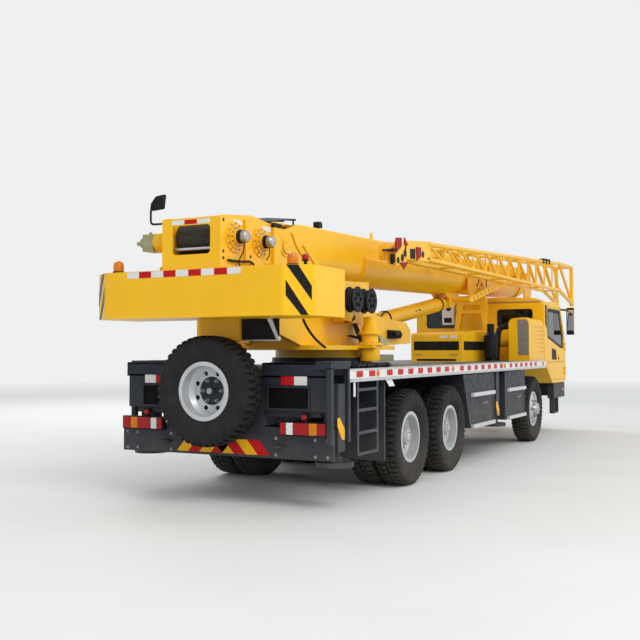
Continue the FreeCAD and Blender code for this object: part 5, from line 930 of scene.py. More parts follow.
def rounded(corners, steps=5):
    """Points of an outline of (a, b, radius) corners, its corners as arcs."""
    points = []
    for index, (a, b, radius) in enumerate(corners):
        here = Vector((a, b))
        before = (Vector(corners[index - 1][:2]) - here).normalized()
        after = (Vector(corners[(index + 1) % len(corners)][:2]) - here).normalized()
        half = before.angle(after) / 2
        reach = radius / math.tan(half)
        centre = here + (before + after).normalized() * (radius / math.sin(half))
        first = here + before * reach - centre
        last = here + after * reach - centre
        for step in range(steps + 1):
            share = step / steps
            spoke = (first * (1 - share) + last * share).normalized() * radius
            points.append(centre + spoke)
    return points


def cab_windows():
    for side, sign in SIDES:
        y = sign * (CAB_SIDE_Y - 0.016)
        window("door_pane_" + side, "cab_door_" + side, [(p.x, y, p.y) for p in rounded(DOOR_WINDOW)],
               (0, sign, 0))
        window("rear_pane_" + side, "chassis",
               [(CAB_REAR_X + 0.016, sign * p.x, p.y) for p in rounded(REAR_WINDOW)], BACK)
    glass = Piece("windshield", "chassis", "glass")
    across = [WINDSHIELD_HALF * (step / 6 - 1) for step in range(13)]
    for inset in (WINDSHIELD_INSET, WINDSHIELD_INSET + PANE):
        sheet = [[glass.mesh.verts.new((CAB_FRONT_X + x - inset, y, z)) for y in across]
                 for x, z in WINDSHIELD_LINE]
        for row, following in zip(sheet, sheet[1:]):
            for k in range(len(across) - 1):
                glass.mesh.faces.new((row[k], row[k + 1], following[k + 1], following[k]))
    glass.done(angle=60)
    wipers = Piece("wipers", "chassis", "black")
    for y in WIPERS_Y:
        wipers.rod((CAB_FRONT_X + 0.004, y, 1.56), (CAB_FRONT_X - 0.085, y + 0.42, 1.86), 0.007, 8)
        wipers.box((CAB_FRONT_X - 0.004, y - 0.03, 1.54), (CAB_FRONT_X + 0.014, y + 0.03, 1.58))
    wipers.done(bevel=0.001)


def operator_windows():
    window("operator_door_pane", "operator_door",
           [(OPERATOR_X + p.x, 1.224, p.y) for p in rounded(OPERATOR_DOOR_WINDOW)], ACROSS)
    window("operator_side_pane", "upper",
           [(OPERATOR_X + p.x, 0.537, p.y) for p in rounded(OPERATOR_SIDE_WINDOW)], (0, -1, 0))
    window("operator_rear_pane", "upper",
           [(OPERATOR_X + 0.017, p.x, p.y) for p in rounded(OPERATOR_REAR_WINDOW)], BACK)
    slope = Vector((0.42, 0, -0.81)).normalized()
    out = Vector((0.81, 0, 0.42)).normalized()
    top = Vector((OPERATOR_X + 1.345, 0, 2.965))
    window("operator_front_pane", "upper",
           [Vector((0, p.x, 0)) + top + slope * p.y for p in rounded(OPERATOR_FRONT_WINDOW)], out)


# Driver's cab: roof, dark surrounds, mirrors, lamps, seams and grille net

DOOR_SURROUND = [(CAB_REAR_X + 0.254, 1.742, 0.05), (CAB_REAR_X + 0.254, 2.276, 0.06),
                 (CAB_FRONT_X - 0.455, 2.266, 0.06), (CAB_FRONT_X - 0.185, 1.768, 0.05),
                 (CAB_FRONT_X - 0.185, 1.560, 0.05), (CAB_FRONT_X - 0.432, 1.560, 0.05)]
HANDLE_RECESS = [(3.180, 1.560), (3.505, 1.520), (3.560, 1.340), (3.180, 1.352)]
PILLAR = [(CAB_REAR_X + 0.085, 1.99), (CAB_REAR_X + 0.085, 2.33), (CAB_REAR_X + 0.205, 2.33),
          (CAB_REAR_X + 0.205, 1.90)]
SKIN = 0.0025
SEAM = 0.0015
ROOF_LOW_Z = 2.392
ROOF_HALF = 1.13
ROOF_RISE = 0.088
ROOF_REAR_X = CAB_REAR_X + 0.004
ROOF_END_X = 3.78
ROOF_STEPS = 24
ROOF_SHARES = (0.0, 0.015, 0.05, 0.12, 0.25, 0.40, 0.55, 0.70, 0.82, 0.92, 1.0)
GRILLE_LOW_Z = 1.080
GRILLE_PITCH = 0.072
HEADLAMPS_Y = (0.69, 0.86)
ROOF_LAMPS_Y = (-0.9, -0.3, 0.3, 0.9)


def cab_roof():
    """Raised roof, crowned across and running out forwards, with a bright gutter round it that also stands
    for the highlight on the roof's rounded edge.
    """
    cap = Piece("cab_roof_cap", "chassis", "yellow")
    rows = []
    for share in ROOF_SHARES:
        x = ROOF_REAR_X + (ROOF_END_X - ROOF_REAR_X) * share
        rear = min(1.0, 0.72 + share * 4)
        fall = 0.5 + 0.5 * math.cos(math.pi * max(0.0, (share - 0.25) / 0.75))
        row = []
        for step in range(ROOF_STEPS + 1):
            side = 2 * step / ROOF_STEPS - 1
            crown = 1 - 0.30 * side * side
            edge = (1 - abs(side) ** 14) ** 0.5
            row.append((x, side * ROOF_HALF, ROOF_LOW_Z + 0.004 + ROOF_RISE * rear * fall * crown * edge))
        row += [(x, ROOF_HALF, ROOF_LOW_Z), (x, -ROOF_HALF, ROOF_LOW_Z)]
        rows.append([cap.mesh.verts.new(point) for point in row])
    for row, following in zip(rows, rows[1:]):
        for index in range(len(row)):
            after = (index + 1) % len(row)
            cap.mesh.faces.new((row[index], row[after], following[after], following[index]))
    cap.mesh.faces.new(rows[0])
    cap.mesh.faces.new(rows[-1])
    cap.done(angle=40)
    # Bright aluminium gutter: a real gutter, and a painted highlight along the roof's rounded edge.
    gutter = Piece("cab_roof_gutter_and_edge_highlight", "chassis", "aluminium")
    gutter_z = (ROOF_LOW_Z - 0.006, ROOF_LOW_Z + 0.008)
    gutter.side_box(1, (CAB_REAR_X - 0.006, CAB_REAR_X + 0.004), (-ROOF_HALF - 0.01, ROOF_HALF + 0.01),
                    gutter_z)
    for sign in (-1, 1):
        gutter.side_box(sign, (CAB_REAR_X, ROOF_END_X), (ROOF_HALF, ROOF_HALF + 0.012), gutter_z)
    gutter.done(bevel=0.002)


def cab_doors():
    """Dark surround, handle recess, handle and lower groove of each door, and the pillar behind it."""
    outer, inner = rounded(DOOR_SURROUND), rounded(DOOR_WINDOW)
    for side, sign in SIDES:
        y = sign * CAB_SIDE_Y
        door = "cab_door_" + side
        surround = Piece("door_surround_" + side, door, "black")
        for index in range(len(outer)):
            after = (index + 1) % len(outer)
            surround.plate((outer[index], outer[after], inner[after], inner[index]), y, sign * SKIN)
        surround.plate(HANDLE_RECESS, y, sign * 0.002)
        surround.done()
        Piece("cab_pillar_" + side, "chassis", "black").plate(PILLAR, y, sign * SKIN).done(bevel=0.001)
        handle = Piece("door_handle_" + side, door, "black")
        handle.rod((CAB_FRONT_X - 0.63, y - sign * 0.004, 1.37), (CAB_FRONT_X - 0.55, y - sign * 0.004, 1.37),
                   0.012, 12)
        handle.done()
        groove = Piece("door_groove_" + side, door, "black")
        groove.side_box(sign, (CAB_REAR_X + 0.26, CAB_FRONT_X - 0.13), (CAB_SIDE_Y, CAB_SIDE_Y + SEAM),
                        (1.300, 1.306))
        groove.done()
    seam = Piece("cab_seam", "chassis", "black")
    for sign in (-1, 1):
        seam.side_box(sign, (CAB_REAR_X + 0.03, CAB_REAR_X + 0.20), (CAB_SIDE_Y, CAB_SIDE_Y + SEAM),
                      (1.325, 1.331))
    seam.done()


def cab_mirrors_and_lamps():
    front = CAB_FRONT_X
    for side, sign in SIDES:
        glass = Piece("mirror_glass_" + side, "chassis", "mirror")
        glass.side_box(sign, (front - 0.069, front - 0.065), (1.256, 1.370), (1.90, 2.29))
        glass.done(bevel=0.003)
        casing = Piece("mirror_casing_" + side, "chassis", "black")
        casing.side_box(sign, (front - 0.066, front + 0.002), (1.238, 1.3795), (1.815, 2.335))
        casing.pipe([(front - 0.405, sign * 1.178, 2.290), (front - 0.02, sign * 1.318, 2.280)], 0.018)
        casing.done(bevel=0.014)
        lamps = Piece("headlamps_" + side, "chassis", "white_lens")
        for y in HEADLAMPS_Y:
            lamps.knob([(0.060, -0.004), (0.058, 0.006), (0.040, 0.013)], (front + 0.054, sign * y, 0.78),
                       AHEAD, tip=0.017)
        lamps.done()
        turn = Piece("turn_lamps_" + side, "chassis", "amber_lens")
        turn.side_box(sign, (front - 0.32, front - 0.22), (1.196, 1.206), (0.76, 0.80))
        turn.done(bevel=0.003)
    grille = Piece("grille_net", "chassis", "black")
    for index in range(5):
        z = GRILLE_LOW_Z + GRILLE_PITCH * index
        grille.box((front - 0.0215, -0.619, z + 0.001), (front - 0.016, 0.619, z + 0.039))
    grille.done()
    roof = Piece("roof_lamps", "chassis", "amber_lens")
    for y in ROOF_LAMPS_Y:
        roof.knob([(0.035, 0.0), (0.035, 0.012), (0.022, 0.026)], (front - 0.62, y, 2.384), UP, 20, 0.028)
    roof.done()


# Upper: hoses, reels, slewing drive, beacons, mirror

REEL_COILS = (0.096, 0.116)
REEL_HOSE_RADIUS = 0.0098
REEL_HOSE_PITCH = 0.022
REEL_HOSE_Y = -0.778
REEL_Z = 2.09
REEL_INSET = 0.145
REEL_PLATE = [(-4.460, 1.900), (-4.460, 2.200), (-4.257, 2.309), (-3.562, 2.340), (-3.562, 1.840),
              (-3.720, 1.815)]
REEL_BRACKET = [(0, 1.86), (0, 2.10), (0.30, 2.06), (0.30, 1.84)]
PLATE_FACE = 0.336
# Outlines on the turntable's side plates, with how far each stands out
PLATE_RIBS = (
    (((-6.022, 2.37), (-6.022, 2.80), (-5.985, 2.80), (-5.985, 2.37)), 0.030),
    (((-5.480, 2.30), (-5.480, 2.79), (-5.335, 2.79), (-5.335, 2.30)), 0.035),
    (((-5.070, 2.785), (-4.965, 2.755), (-4.150, 2.230), (-4.215, 2.160), (-4.960, 2.640)), 0.018),
    (((-4.850, 2.665), (-4.790, 2.700), (-4.470, 2.500), (-4.500, 2.430)), 0.036),
)
PLATE_PAD = ((-5.490, 2.795), (-5.490, 2.835), (-5.325, 2.835), (-5.325, 2.795))
# Holes in the side plates, drawn as black discs: painted shade inside the holes.
PLATE_HOLES = ((-6.375, 2.757), (-6.375, 2.46), (-6.375, 2.395), (-5.889, 2.45))
PLATE_BLANKS = (((-6.209, 2.740), (-6.209, 2.782), (-6.047, 2.782), (-6.047, 2.740)),
                ((-5.660, 2.735), (-5.660, 2.785), (-5.500, 2.785), (-5.500, 2.735)))
DRIVE_Y = -0.71
COOLER_FINS = 9
COOLER_PITCH = 0.05
DRIVE_CHEEK = [(-3.479, 1.781), (-3.268, 1.675), (-3.301, 1.503), (-3.512, 1.504)]


def upper_hoses():
    """Hoses clipped to the right plate and the turntable, and the cables of the winch sensors."""
    x = AXLE_3_X
    for index in range(3):
        shift = 0.036 * index
        curve("plate_hose_%d" % index, "upper", "hose",
              [(x - 0.10 + shift, -0.350, 2.30 - shift), (x + 0.02 + shift, -0.352, 2.20 - shift),
               (x + 0.20 + shift, -0.356, 2.02 - shift), (x + 0.26 + shift, -0.370, 1.86),
               (x + 0.30 + shift, -0.420, 1.70), (x + 0.30 + shift, -0.460, 1.582)], 0.013)
    curve("turntable_hose", "upper", "hose",
          [(-5.36, -0.640, 1.842), (-5.30, -0.650, 1.760), (-5.127, -0.650, 1.650), (-4.93, -0.650, 1.570),
           (-4.86, -0.640, 1.556)], 0.014)
    for index, (_, drum) in enumerate(DRUMS):
        curve("winch_cable_%d" % index, "upper", "hose",
              [(drum.x, -0.445, drum.z - 0.045), (drum.x + 0.01, -0.448, drum.z - 0.12),
               (drum.x - 0.02, -0.415, drum.z - 0.20), (drum.x + 0.03, -0.360, drum.z - 0.26),
               (drum.x + 0.12, -0.348, drum.z - 0.29)], 0.006)
    curve("winch_cable_bundle", "upper", "hose",
          [(-6.315, -0.352, 2.379), (-6.21, -0.356, 2.378), (-6.066, -0.372, 2.381), (-5.956, -0.376, 2.400),
           (-5.862, -0.354, 2.374)], 0.012)
    clamps = Piece("hose_clamps", "upper", "steel")
    for low_x, z in ((x + 0.055, 2.085), (x + 0.185, 1.900)):
        clamps.box((low_x, -0.372, z), (low_x + 0.14, -0.348, z + 0.022))
    clamps.done(bevel=0.002)


def plate_trim():
    """Ribs, pads, bolt holes, blank plates and flanges on the faces of the turntable's side plates."""
    ribs = Piece("plate_ribs", "upper", "yellow")
    pads = Piece("plate_pads_and_hole_shade", "upper", "black")
    blanks = Piece("plate_blanks", "upper", "white")
    flanges = Piece("plate_flanges", "upper", "yellow")
    bolts = Piece("plate_bolts", "upper", "steel")
    for sign in (-1, 1):
        face = sign * PLATE_FACE
        for outline, proud in PLATE_RIBS:
            ribs.plate(outline, face, sign * proud)
        pads.plate(PLATE_PAD, face, sign * 0.040)
        # Black discs at the holes: painted shade.
        for x, z in PLATE_HOLES:
            pads.rod((x, face - sign * 0.002, z), (x, face + sign * 0.003, z), 0.016, 16)
        for outline in PLATE_BLANKS:
            blanks.plate(outline, face, sign * 0.003)
        for _, drum in DRUMS:
            flanges.hoop((0.112, 0.150), (face, face + sign * 0.014), (drum.x, 0, drum.z), ACROSS, 48)
            bolts.nuts((drum.x, face + sign * 0.014, drum.z), (0, sign, 0), 0.132, 12, 0.008, 0.010)
    ribs.done(bevel=0.003)
    pads.done(bevel=0.002)
    blanks.done()
    flanges.done(bevel=0.002)
    bolts.done()


def slew_fittings():
    """Rings and lower housing of the slewing drive, with its valve block, hose ends and cooler."""
    low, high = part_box("slew_drive")
    x = high.x
    centre = Vector(((low.x + x) / 2, DRIVE_Y, 0))
    block = Piece("slew_valve_block", "upper", "valve")
    block.box((x + 0.02, -0.79, 1.582), (x + 0.20, -0.66, 1.665))
    block.box((x + 0.05, -0.76, 1.665), (x + 0.13, -0.69, 1.700))
    block.done(bevel=0.004)
    ends = Piece("slew_hose_ends", "upper", "steel")
    for index, shift in enumerate((0.05, 0.10, 0.15)):
        ends.rod((x + shift, -0.66, 1.62), (x + shift, -0.625, 1.62), 0.014, 6)
        curve("slew_hose_%d" % index, "upper", "hose",
              [(x + shift, -0.628, 1.62), (x + shift, -0.580, 1.625), (x + shift + 0.02, -0.500, 1.66),
               (x + shift + 0.03, -0.420, 1.68), (x + shift + 0.03, -0.345, 1.70)], 0.011)
    ends.nuts(centre + Vector((0, 0, 1.608)), UP, 0.133, 10, 0.008, 0.012)
    ends.done()
    drive = Piece("slew_drive_rings", "upper", "yellow")
    drive.hoop((0.121, 0.150), (1.582, 1.608), centre, UP, 48)
    drive.turned([(0.121, 1.705), (0.130, 1.710), (0.130, 1.740), (0.121, 1.745)], centre, UP, 48)
    drive.knob([(0.112, 1.400), (0.115, 1.410), (0.115, 1.560)], centre, UP, 40)
    drive.plate(DRIVE_CHEEK, -0.560, -0.012)
    drive.done(bevel=0.003)
    fins = Piece("slew_cooler", "upper", "valve")
    fins.box((-3.70, -0.760, 1.400), (-3.25, -0.700, 1.470))
    for index in range(COOLER_FINS):
        fin_x = -3.685 + COOLER_PITCH * index
        fins.box((fin_x, -0.768, 1.396), (fin_x + 0.020, -0.692, 1.474))
    fins.done(bevel=0.002)


def reels():
    """Two layers of hose wound on each open reel, the reels' brackets and the hoses that lead to them."""
    coils = Piece("reel_hose_coils", "upper", "hose")
    low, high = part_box("hose_reels")
    for x in (low.x + REEL_INSET, high.x - REEL_INSET):
        for radius in REEL_COILS:
            for index in range(4):
                turn = hexagon(radius, REEL_HOSE_Y + REEL_HOSE_PITCH * index, REEL_HOSE_RADIUS)
                coils.turned(turn, (x, 0, REEL_Z), ACROSS, 36)
    coils.done(angle=80)
    brackets = Piece("reel_brackets", "upper", "yellow")
    for start in (-4.100, -3.640):
        brackets.plate([(start + x, z) for x, z in REEL_BRACKET], -0.338, -0.225)
    brackets.plate(REEL_PLATE, -0.560, -0.012)
    brackets.done(bevel=0.004)
    for index, start in enumerate((-3.951, -3.580)):
        curve("reel_lead_%d" % index, "upper", "hose",
              [(start, -0.500, 1.950), (start - 0.005, -0.560, 1.930), (start - 0.05, -0.590, 1.895),
               (start - 0.10, -0.570, 1.860), (start - 0.14, -0.500, 1.850)], 0.012)


AMBER_BEACONS = ((-6.20, 1.055), (-6.10, -0.93))
RED_BEACON = (-5.72, -0.86, 2.405)
BEACON_FOOT_Z = 2.30


def beacons():
    base = Piece("beacon_base", "upper", "black")
    amber = Piece("beacon_amber", "upper", "amber_lens")
    red = Piece("beacon_red", "upper", "red_lens")
    for x, y in AMBER_BEACONS:
        base.rod((x, y, BEACON_FOOT_Z), (x, y, 2.335), 0.060, 32)
        amber.knob([(0.052, 0.0), (0.054, 0.060), (0.044, 0.095), (0.022, 0.112)], (x, y, 2.333), UP,
                   tip=0.116)
    x, y, z = RED_BEACON
    base.rod((x, y, BEACON_FOOT_Z), (x, y, z), 0.016, 12)
    base.plate([(x - 0.050, BEACON_FOOT_Z), (x + 0.050, BEACON_FOOT_Z), (x + 0.012, 2.385),
                (x - 0.012, 2.385)], y, 0.008)
    base.rod((x, y, z - 0.008), (x, y, z + 0.004), 0.036, 24)
    red.knob([(0.032, 0.0), (0.036, 0.030), (0.026, 0.056)], (x, y, z + 0.003), UP, 28, 0.066)
    for piece in (base, amber, red):
        piece.done(bevel=0.002)


WINCH_MIRROR = Vector((REAR_X + 0.10, 0.395))
MIRROR_OUTLINE = ((0.150, 2.975), (0.145, 2.905), (-0.005, 2.915), (-0.025, 3.060), (0.085, 3.048))
MIRROR_GLASS_SHARE = 0.84


def winch_mirror():
    """Rearward mirror on a bent arm from the left plate's corner."""
    x, y = WINCH_MIRROR
    arm = Piece("winch_mirror_arm", "upper", "black")
    arm.pipe([(x, 0.330, 2.765), (x, y + 0.11, 2.768), (x, y + 0.130, 2.780), (x, y + 0.137, 2.80),
              (x, y + 0.137, 2.90)], 0.011)
    arm.pipe([(x, y + 0.137, 2.89), (x + 0.005, y + 0.133, 2.95), (x + 0.01, y + 0.115, 2.985)], 0.011)
    arm.done()
    outline = [Vector((y + side, z)) for side, z in MIRROR_OUTLINE]
    casing = Piece("winch_mirror_casing", "upper", "black")
    casing.slab([(x, p.x, p.y) for p in outline], (0.045, 0, 0)).done(bevel=0.014)
    centre = sum(outline, Vector((0, 0))) / len(outline)
    inner = [centre + (p - centre) * MIRROR_GLASS_SHARE for p in outline]
    glass = Piece("winch_mirror_glass", "upper", "mirror")
    glass.slab([(x + 0.044, p.x, p.y) for p in inner], (0.003, 0, 0)).done()


# Boom: peg, lugs, lamp and tail cover on top, bracket on the right side

BOOM_TOP = 0.288
PEG_ALONG = 2.96
LUGS_ALONG = (5.4, 7.8, 9.6)
LUG_SIDE = 0.11
LAMP_OUTLINE = [(1.27, 0.335), (1.37, 0.335), (1.37, 0.385), (1.35, 0.410), (1.285, 0.410), (1.27, 0.395)]
TAIL_COVER_LOW = (-0.06, 0.262)
TAIL_COVER_HIGH = (0.52, 0.345)
TAIL_COVER_EDGE = -0.19
TAIL_COVER_RUN = (0, 0.38, 0.040)
SIDE_BRACKET = [(1.090, 2.749), (2.297, 2.781), (2.152, 2.624), (1.614, 2.592), (1.139, 2.381),
                (1.089, 2.510)]
SIDE_HOLES = [(1.570, 2.641), (1.834, 2.657), (2.112, 2.675), (1.663, 2.711), (2.114, 2.741)]


def boom_plate(piece, outline, edge, run):
    """Outline of (along, up) points on the boom from one side place, pushed along the run."""
    return piece.slab([on_boom(along, edge, up) for along, up in outline], run)


def boom_top():
    """Peg, paired lugs with bars between them, and a lamp."""
    peg = Piece("boom_peg", "boom", "yellow")
    boom_plate(peg, [(PEG_ALONG, BOOM_TOP), (PEG_ALONG + 0.10, BOOM_TOP), (PEG_ALONG + 0.065, 0.43),
                     (PEG_ALONG + 0.035, 0.43)], -0.012, (0, 0.024, 0))
    for along in LUGS_ALONG:
        for side in (-LUG_SIDE, LUG_SIDE):
            boom_plate(peg, [(along, BOOM_TOP), (along + 0.09, BOOM_TOP), (along + 0.07, 0.36),
                             (along + 0.02, 0.36)], side - 0.008, (0, 0.016, 0))
        peg.rod(on_boom(along + 0.045, -LUG_SIDE, 0.345), on_boom(along + 0.045, LUG_SIDE, 0.345), 0.014, 16)
    peg.done(bevel=0.002)
    lamp = Piece("boom_lamp", "boom", "black")
    lamp.rod(on_boom(1.32, -0.05, 0.286), on_boom(1.32, -0.05, 0.345), 0.012, 12)
    boom_plate(lamp, LAMP_OUTLINE, -0.09, (0, 0.08, 0))
    lamp.done(bevel=0.008)


def boom_tail_cover():
    """Dark sheet over the boom's tail on three bars and four posts."""
    cover = Piece("boom_tail_cover", "boom", "hose")
    low, high = TAIL_COVER_LOW, TAIL_COVER_HIGH
    boom_plate(cover, [low, high, (high[0], high[1] + 0.010), (low[0], low[1] + 0.010)], TAIL_COVER_EDGE,
               TAIL_COVER_RUN)
    for share in (0.0, 0.48, 0.94):
        along = low[0] + (high[0] - low[0]) * share
        up = low[1] + (high[1] - low[1]) * share - 0.012
        boom_plate(cover, [(along, up), (along + 0.035, up + 0.005), (along + 0.035, up + 0.020),
                           (along, up + 0.015)], TAIL_COVER_EDGE, TAIL_COVER_RUN)
    for along, up in (low, (high[0] - 0.05, high[1])):
        for side, rise in ((-0.17, 0.0), (0.17, 0.036)):
            cover.rod(on_boom(along + 0.02, side, 0.20), on_boom(along + 0.02, side, up + rise), 0.010, 10)
    cover.done(bevel=0.003)


def boom_side():
    """Bracket with holes on the right side, and bolts on both sides near the boom's end."""
    bracket = Piece("boom_side_bracket", "boom", "yellow")
    bracket.plate(SIDE_BRACKET, -0.290, -0.016).done(bevel=0.003)
    # The holes are thin black discs: painted shade inside the holes.
    holes = Piece("boom_side_hole_shade_discs", "boom", "black")
    for x, z in SIDE_HOLES:
        holes.rod((x, -0.303, z), (x, -0.308, z), 0.034, 20)
    holes.done()
    bolts = Piece("boom_side_bolts", "boom", "steel")
    for along in (9.76, 9.83):
        for up in (-0.03, 0.08, 0.19):
            for sign in (-1, 1):
                bolts.nut(on_boom(along, sign * 0.276, up), (0, sign, 0), 0.010, 0.012)
    bolts.done()


# Stowed jib: guards, cheeks and pins at its head, clips and blocks along it

JIB_NEAR_FACE_Y = -0.912
JIB_GUARDS = (
    ((-3.549, 2.861), (-3.363, 2.881), (-3.374, 2.772), (-3.533, 2.684), (-3.635, 2.679), (-3.569, 2.753)),
    ((-3.289, 2.895), (-3.156, 2.809), (-3.264, 2.798)),
    ((-3.425, 2.575), (-3.157, 2.600), (-3.298, 2.502)),
    ((-2.886, 2.815), (-2.718, 2.826), (-2.720, 2.705), (-2.862, 2.645)),
)
JIB_CHEEK_FRONT = ((-3.374, 2.780), (-3.200, 2.900), (-3.200, 2.600), (-3.265, 2.558))
JIB_NEAR_CHEEK = ((-3.533, 2.684), *JIB_CHEEK_FRONT, (-3.519, 2.537))
JIB_FAR_CHEEK = ((-3.480, 2.700), *JIB_CHEEK_FRONT, (-3.480, 2.560))
CLIPS_X = 3.72
CLIPS_Z = 3.175
CLIP_PITCH = 0.23
CLIP_SLOPE = 0.055
TOP_BLOCKS = ((-0.35, 3.000), (1.70, 3.150), (2.25, 3.185))
JIB_BLOCK = ((-3.075, 2.775), (-2.905, 2.790), (-2.905, 2.660), (-3.075, 2.655))
# Pins, then three holes at the end: (x, out, z) of both ends with out counted from the near face, then radius
# and sides
JIB_PINS_AND_HOLES = (
    ((-3.850, 0.03, 2.683), (-3.560, 0.03, 2.715), 0.014, 12),
    ((-3.560, 0.10, 2.715), (-3.560, -0.020, 2.715), 0.020, 14),
    ((-3.600, 0.02, 2.545), (-3.600, 0.02, 2.660), 0.024, 12),
    ((-3.610, 0.02, 2.600), (-3.500, 0.02, 2.600), 0.012, 10),
    ((-3.465, 0.002, 2.600), (-3.465, -0.004, 2.600), 0.040, 20),
    ((-3.246, 0.002, 2.703), (-3.246, -0.008, 2.703), 0.042, 24),
    ((-3.330, 0.118, 2.640), (-3.330, -0.004, 2.640), 0.048, 32),
    # The last three are holes, drawn as thin black discs: painted shade inside the holes.
    ((-2.635, 0, 2.745), (-2.635, -0.005, 2.745), 0.040, 20),
    ((-2.431, 0, 2.711), (-2.431, -0.010, 2.711), 0.014, 12),
    ((-2.380, 0, 2.682), (-2.380, -0.010, 2.682), 0.014, 12),
)


def jib_trim():
    face = JIB_NEAR_FACE_Y
    guards = Piece("jib_red_guards", "boom", "red_paint")
    for outline in JIB_GUARDS:
        guards.plate(outline, face, -0.012)
    guards.done(bevel=0.002)
    cheeks = Piece("jib_head_cheek", "boom", "yellow")
    cheeks.plate(JIB_NEAR_CHEEK, face + 0.012, -0.012)
    cheeks.plate(JIB_FAR_CHEEK, face + 0.130, -0.012)
    cheeks.done(bevel=0.002)
    pins = Piece("jib_head_pins_and_hole_discs", "boom", "black")
    for start, end, radius, sides in JIB_PINS_AND_HOLES:
        pins.rod((start[0], face + start[1], start[2]), (end[0], face + end[1], end[2]), radius, sides)
    pins.plate(JIB_BLOCK, face, -0.004)
    pins.done()
    clips = Piece("jib_clips", "boom", "black")
    for index in range(3):
        x = CLIPS_X + CLIP_PITCH * index
        z = CLIPS_Z + CLIP_PITCH * CLIP_SLOPE * index
        clips.box((x, -0.945, z), (x + 0.07, -0.860, z + 0.085))
    clips.done(bevel=0.004)
    blocks = Piece("jib_top_blocks", "boom", "yellow")
    for x, z in TOP_BLOCKS:
        blocks.box((x, -0.62, z - 0.05), (x + 0.16, -0.54, z + 0.035))
    blocks.done(bevel=0.004)


# Luffing cylinder

BARREL_TILT = math.radians(7.76)
BARREL_HOSE = ((0.72, -0.098, -0.01), (0.74, -0.135, 0.03), (0.80, -0.135, 0.085), (0.95, -0.100, 0.118),
               (1.12, -0.070, 0.114), (1.18, -0.065, 0.106))


def luff_trim():
    """Clamp bands, tabs and pressure hose on the luffing cylinder's barrel, and the valve at its foot."""
    axis = Vector((math.cos(BARREL_TILT), 0, math.sin(BARREL_TILT)))
    above = Vector((-axis.z, 0, axis.x))

    def on_barrel(along, side, up):
        return LUFF_FOOT + axis * along + above * up + Vector((0, side, 0))

    bands = Piece("barrel_bands", "luff_barrel", "black")
    for along in (1.18, 3.36):
        bands.hoop((0.1115, 0.120), (-0.022, 0.022), on_barrel(along, 0, 0), axis, 48)
    bands.done(bevel=0.002)
    tabs = Piece("barrel_tabs", "luff_barrel", "steel")
    for along in (2.15, 2.30):
        tabs.rod(on_barrel(along, -0.110, 0.02), on_barrel(along, -0.130, 0.02), 0.016, 6)
    tabs.done()
    curve("barrel_hose", "luff_barrel", "hose", [on_barrel(*place) for place in BARREL_HOSE], 0.011)
    valve = Piece("luff_valve", "upper", "black")
    valve.box((-2.460, -0.400, 1.680), (-2.120, -0.336, 1.790))
    valve.rod((-2.400, -0.405, 1.735), (-2.180, -0.405, 1.735), 0.040, 24)
    valve.done(bevel=0.004)


# Cushions: crowned closed forms, drawn in between their corners, with sewn channels

CUSHION_STEPS = 30
CHANNEL_WIDTH = 0.008
SEAT_THICKNESS = 0.17
HEADREST = (0.19, 0.27, 0.12)
# Seat, its body, its place and its width
SEATS = (("driver", "chassis", (CAB_REAR_X + 0.64, 0.6, 1.30), 0.49),
         ("mate", "chassis", (CAB_REAR_X + 0.64, -0.6, 1.30), 0.49),
         ("operator", "upper", (OPERATOR_X + 0.34, 0.86, 1.96), 0.39))


def cushion(name, body, centre, size, tilt, channels):
    """One cushion of (length, width, thickness), tilted back by degrees."""
    length, width, thick = size
    count = CUSHION_STEPS
    turn = Matrix.Rotation(-math.radians(tilt), 3, "Y")
    piece = Piece(name, body, "seat")

    def place(i, k, face):
        u, v = 2 * i / count - 1, 2 * k / count - 1
        x = length / 2 * u * (1 - 0.07 * (1 - v * v) * u * u)
        y = width / 2 * v * (1 - 0.07 * (1 - u * u) * v * v)
        crown = math.sqrt(max(0.0, (1 - abs(u) ** 5) * (1 - abs(v) ** 5))) * (1 - 0.12 * (u * u + v * v) / 2)
        for channel in channels:
            crown *= 1 - 0.20 * math.exp(-((y - channel) / CHANNEL_WIDTH) ** 2)
        height = thick / 2 * crown if face > 0 else -thick * 0.38 * crown
        return Vector(centre) + turn @ Vector((x, y, height))

    edge = {}
    for face in (1, -1):
        rows = []
        for i in range(count + 1):
            row = []
            for k in range(count + 1):
                made = edge.get((i, k)) or piece.mesh.verts.new(place(i, k, face))
                if i in (0, count) or k in (0, count):
                    edge[i, k] = made
                row.append(made)
            rows.append(row)
        for row, following in zip(rows, rows[1:]):
            for k in range(count):
                piece.mesh.faces.new((row[k], following[k], following[k + 1], row[k + 1]))
    piece.done(angle=180)


def seats():
    for name, body, (x, y, z), wide in SEATS:
        channels = (-wide / 5, wide / 5)
        squab = (0.45, wide, SEAT_THICKNESS)
        back = (0.56, wide, SEAT_THICKNESS)
        cushion(name + "_squab", body, (x + 0.315, y, z + 0.085), squab, 3, channels)
        cushion(name + "_back", body, (x + 0.065, y, z + 0.37), back, 103.5, channels)
        cushion(name + "_headrest", body, (x - 0.035, y, z + 0.735), HEADREST, 97, ())


# Engine hood, intake and duct

MESH_Z = (1.523, 1.667)
DUCT = ((1.72, -0.842, 1.93), (1.72, -0.70, 1.93), (1.70, -0.635, 1.86), (1.70, -0.62, 1.65),
        (1.70, -0.60, 1.45), (1.70, -0.60, 1.345))
DUCT_RING = ((0.048, -0.008), (0.060, -0.004), (0.060, 0.004), (0.048, 0.008))
DUCT_PITCH = 0.036
SCREEN = ((-1.185, 1.44), (-1.190, 1.94), (-1.180, 2.00), (-1.150, 2.035), (-1.000, 2.035), (-1.015, 1.44))


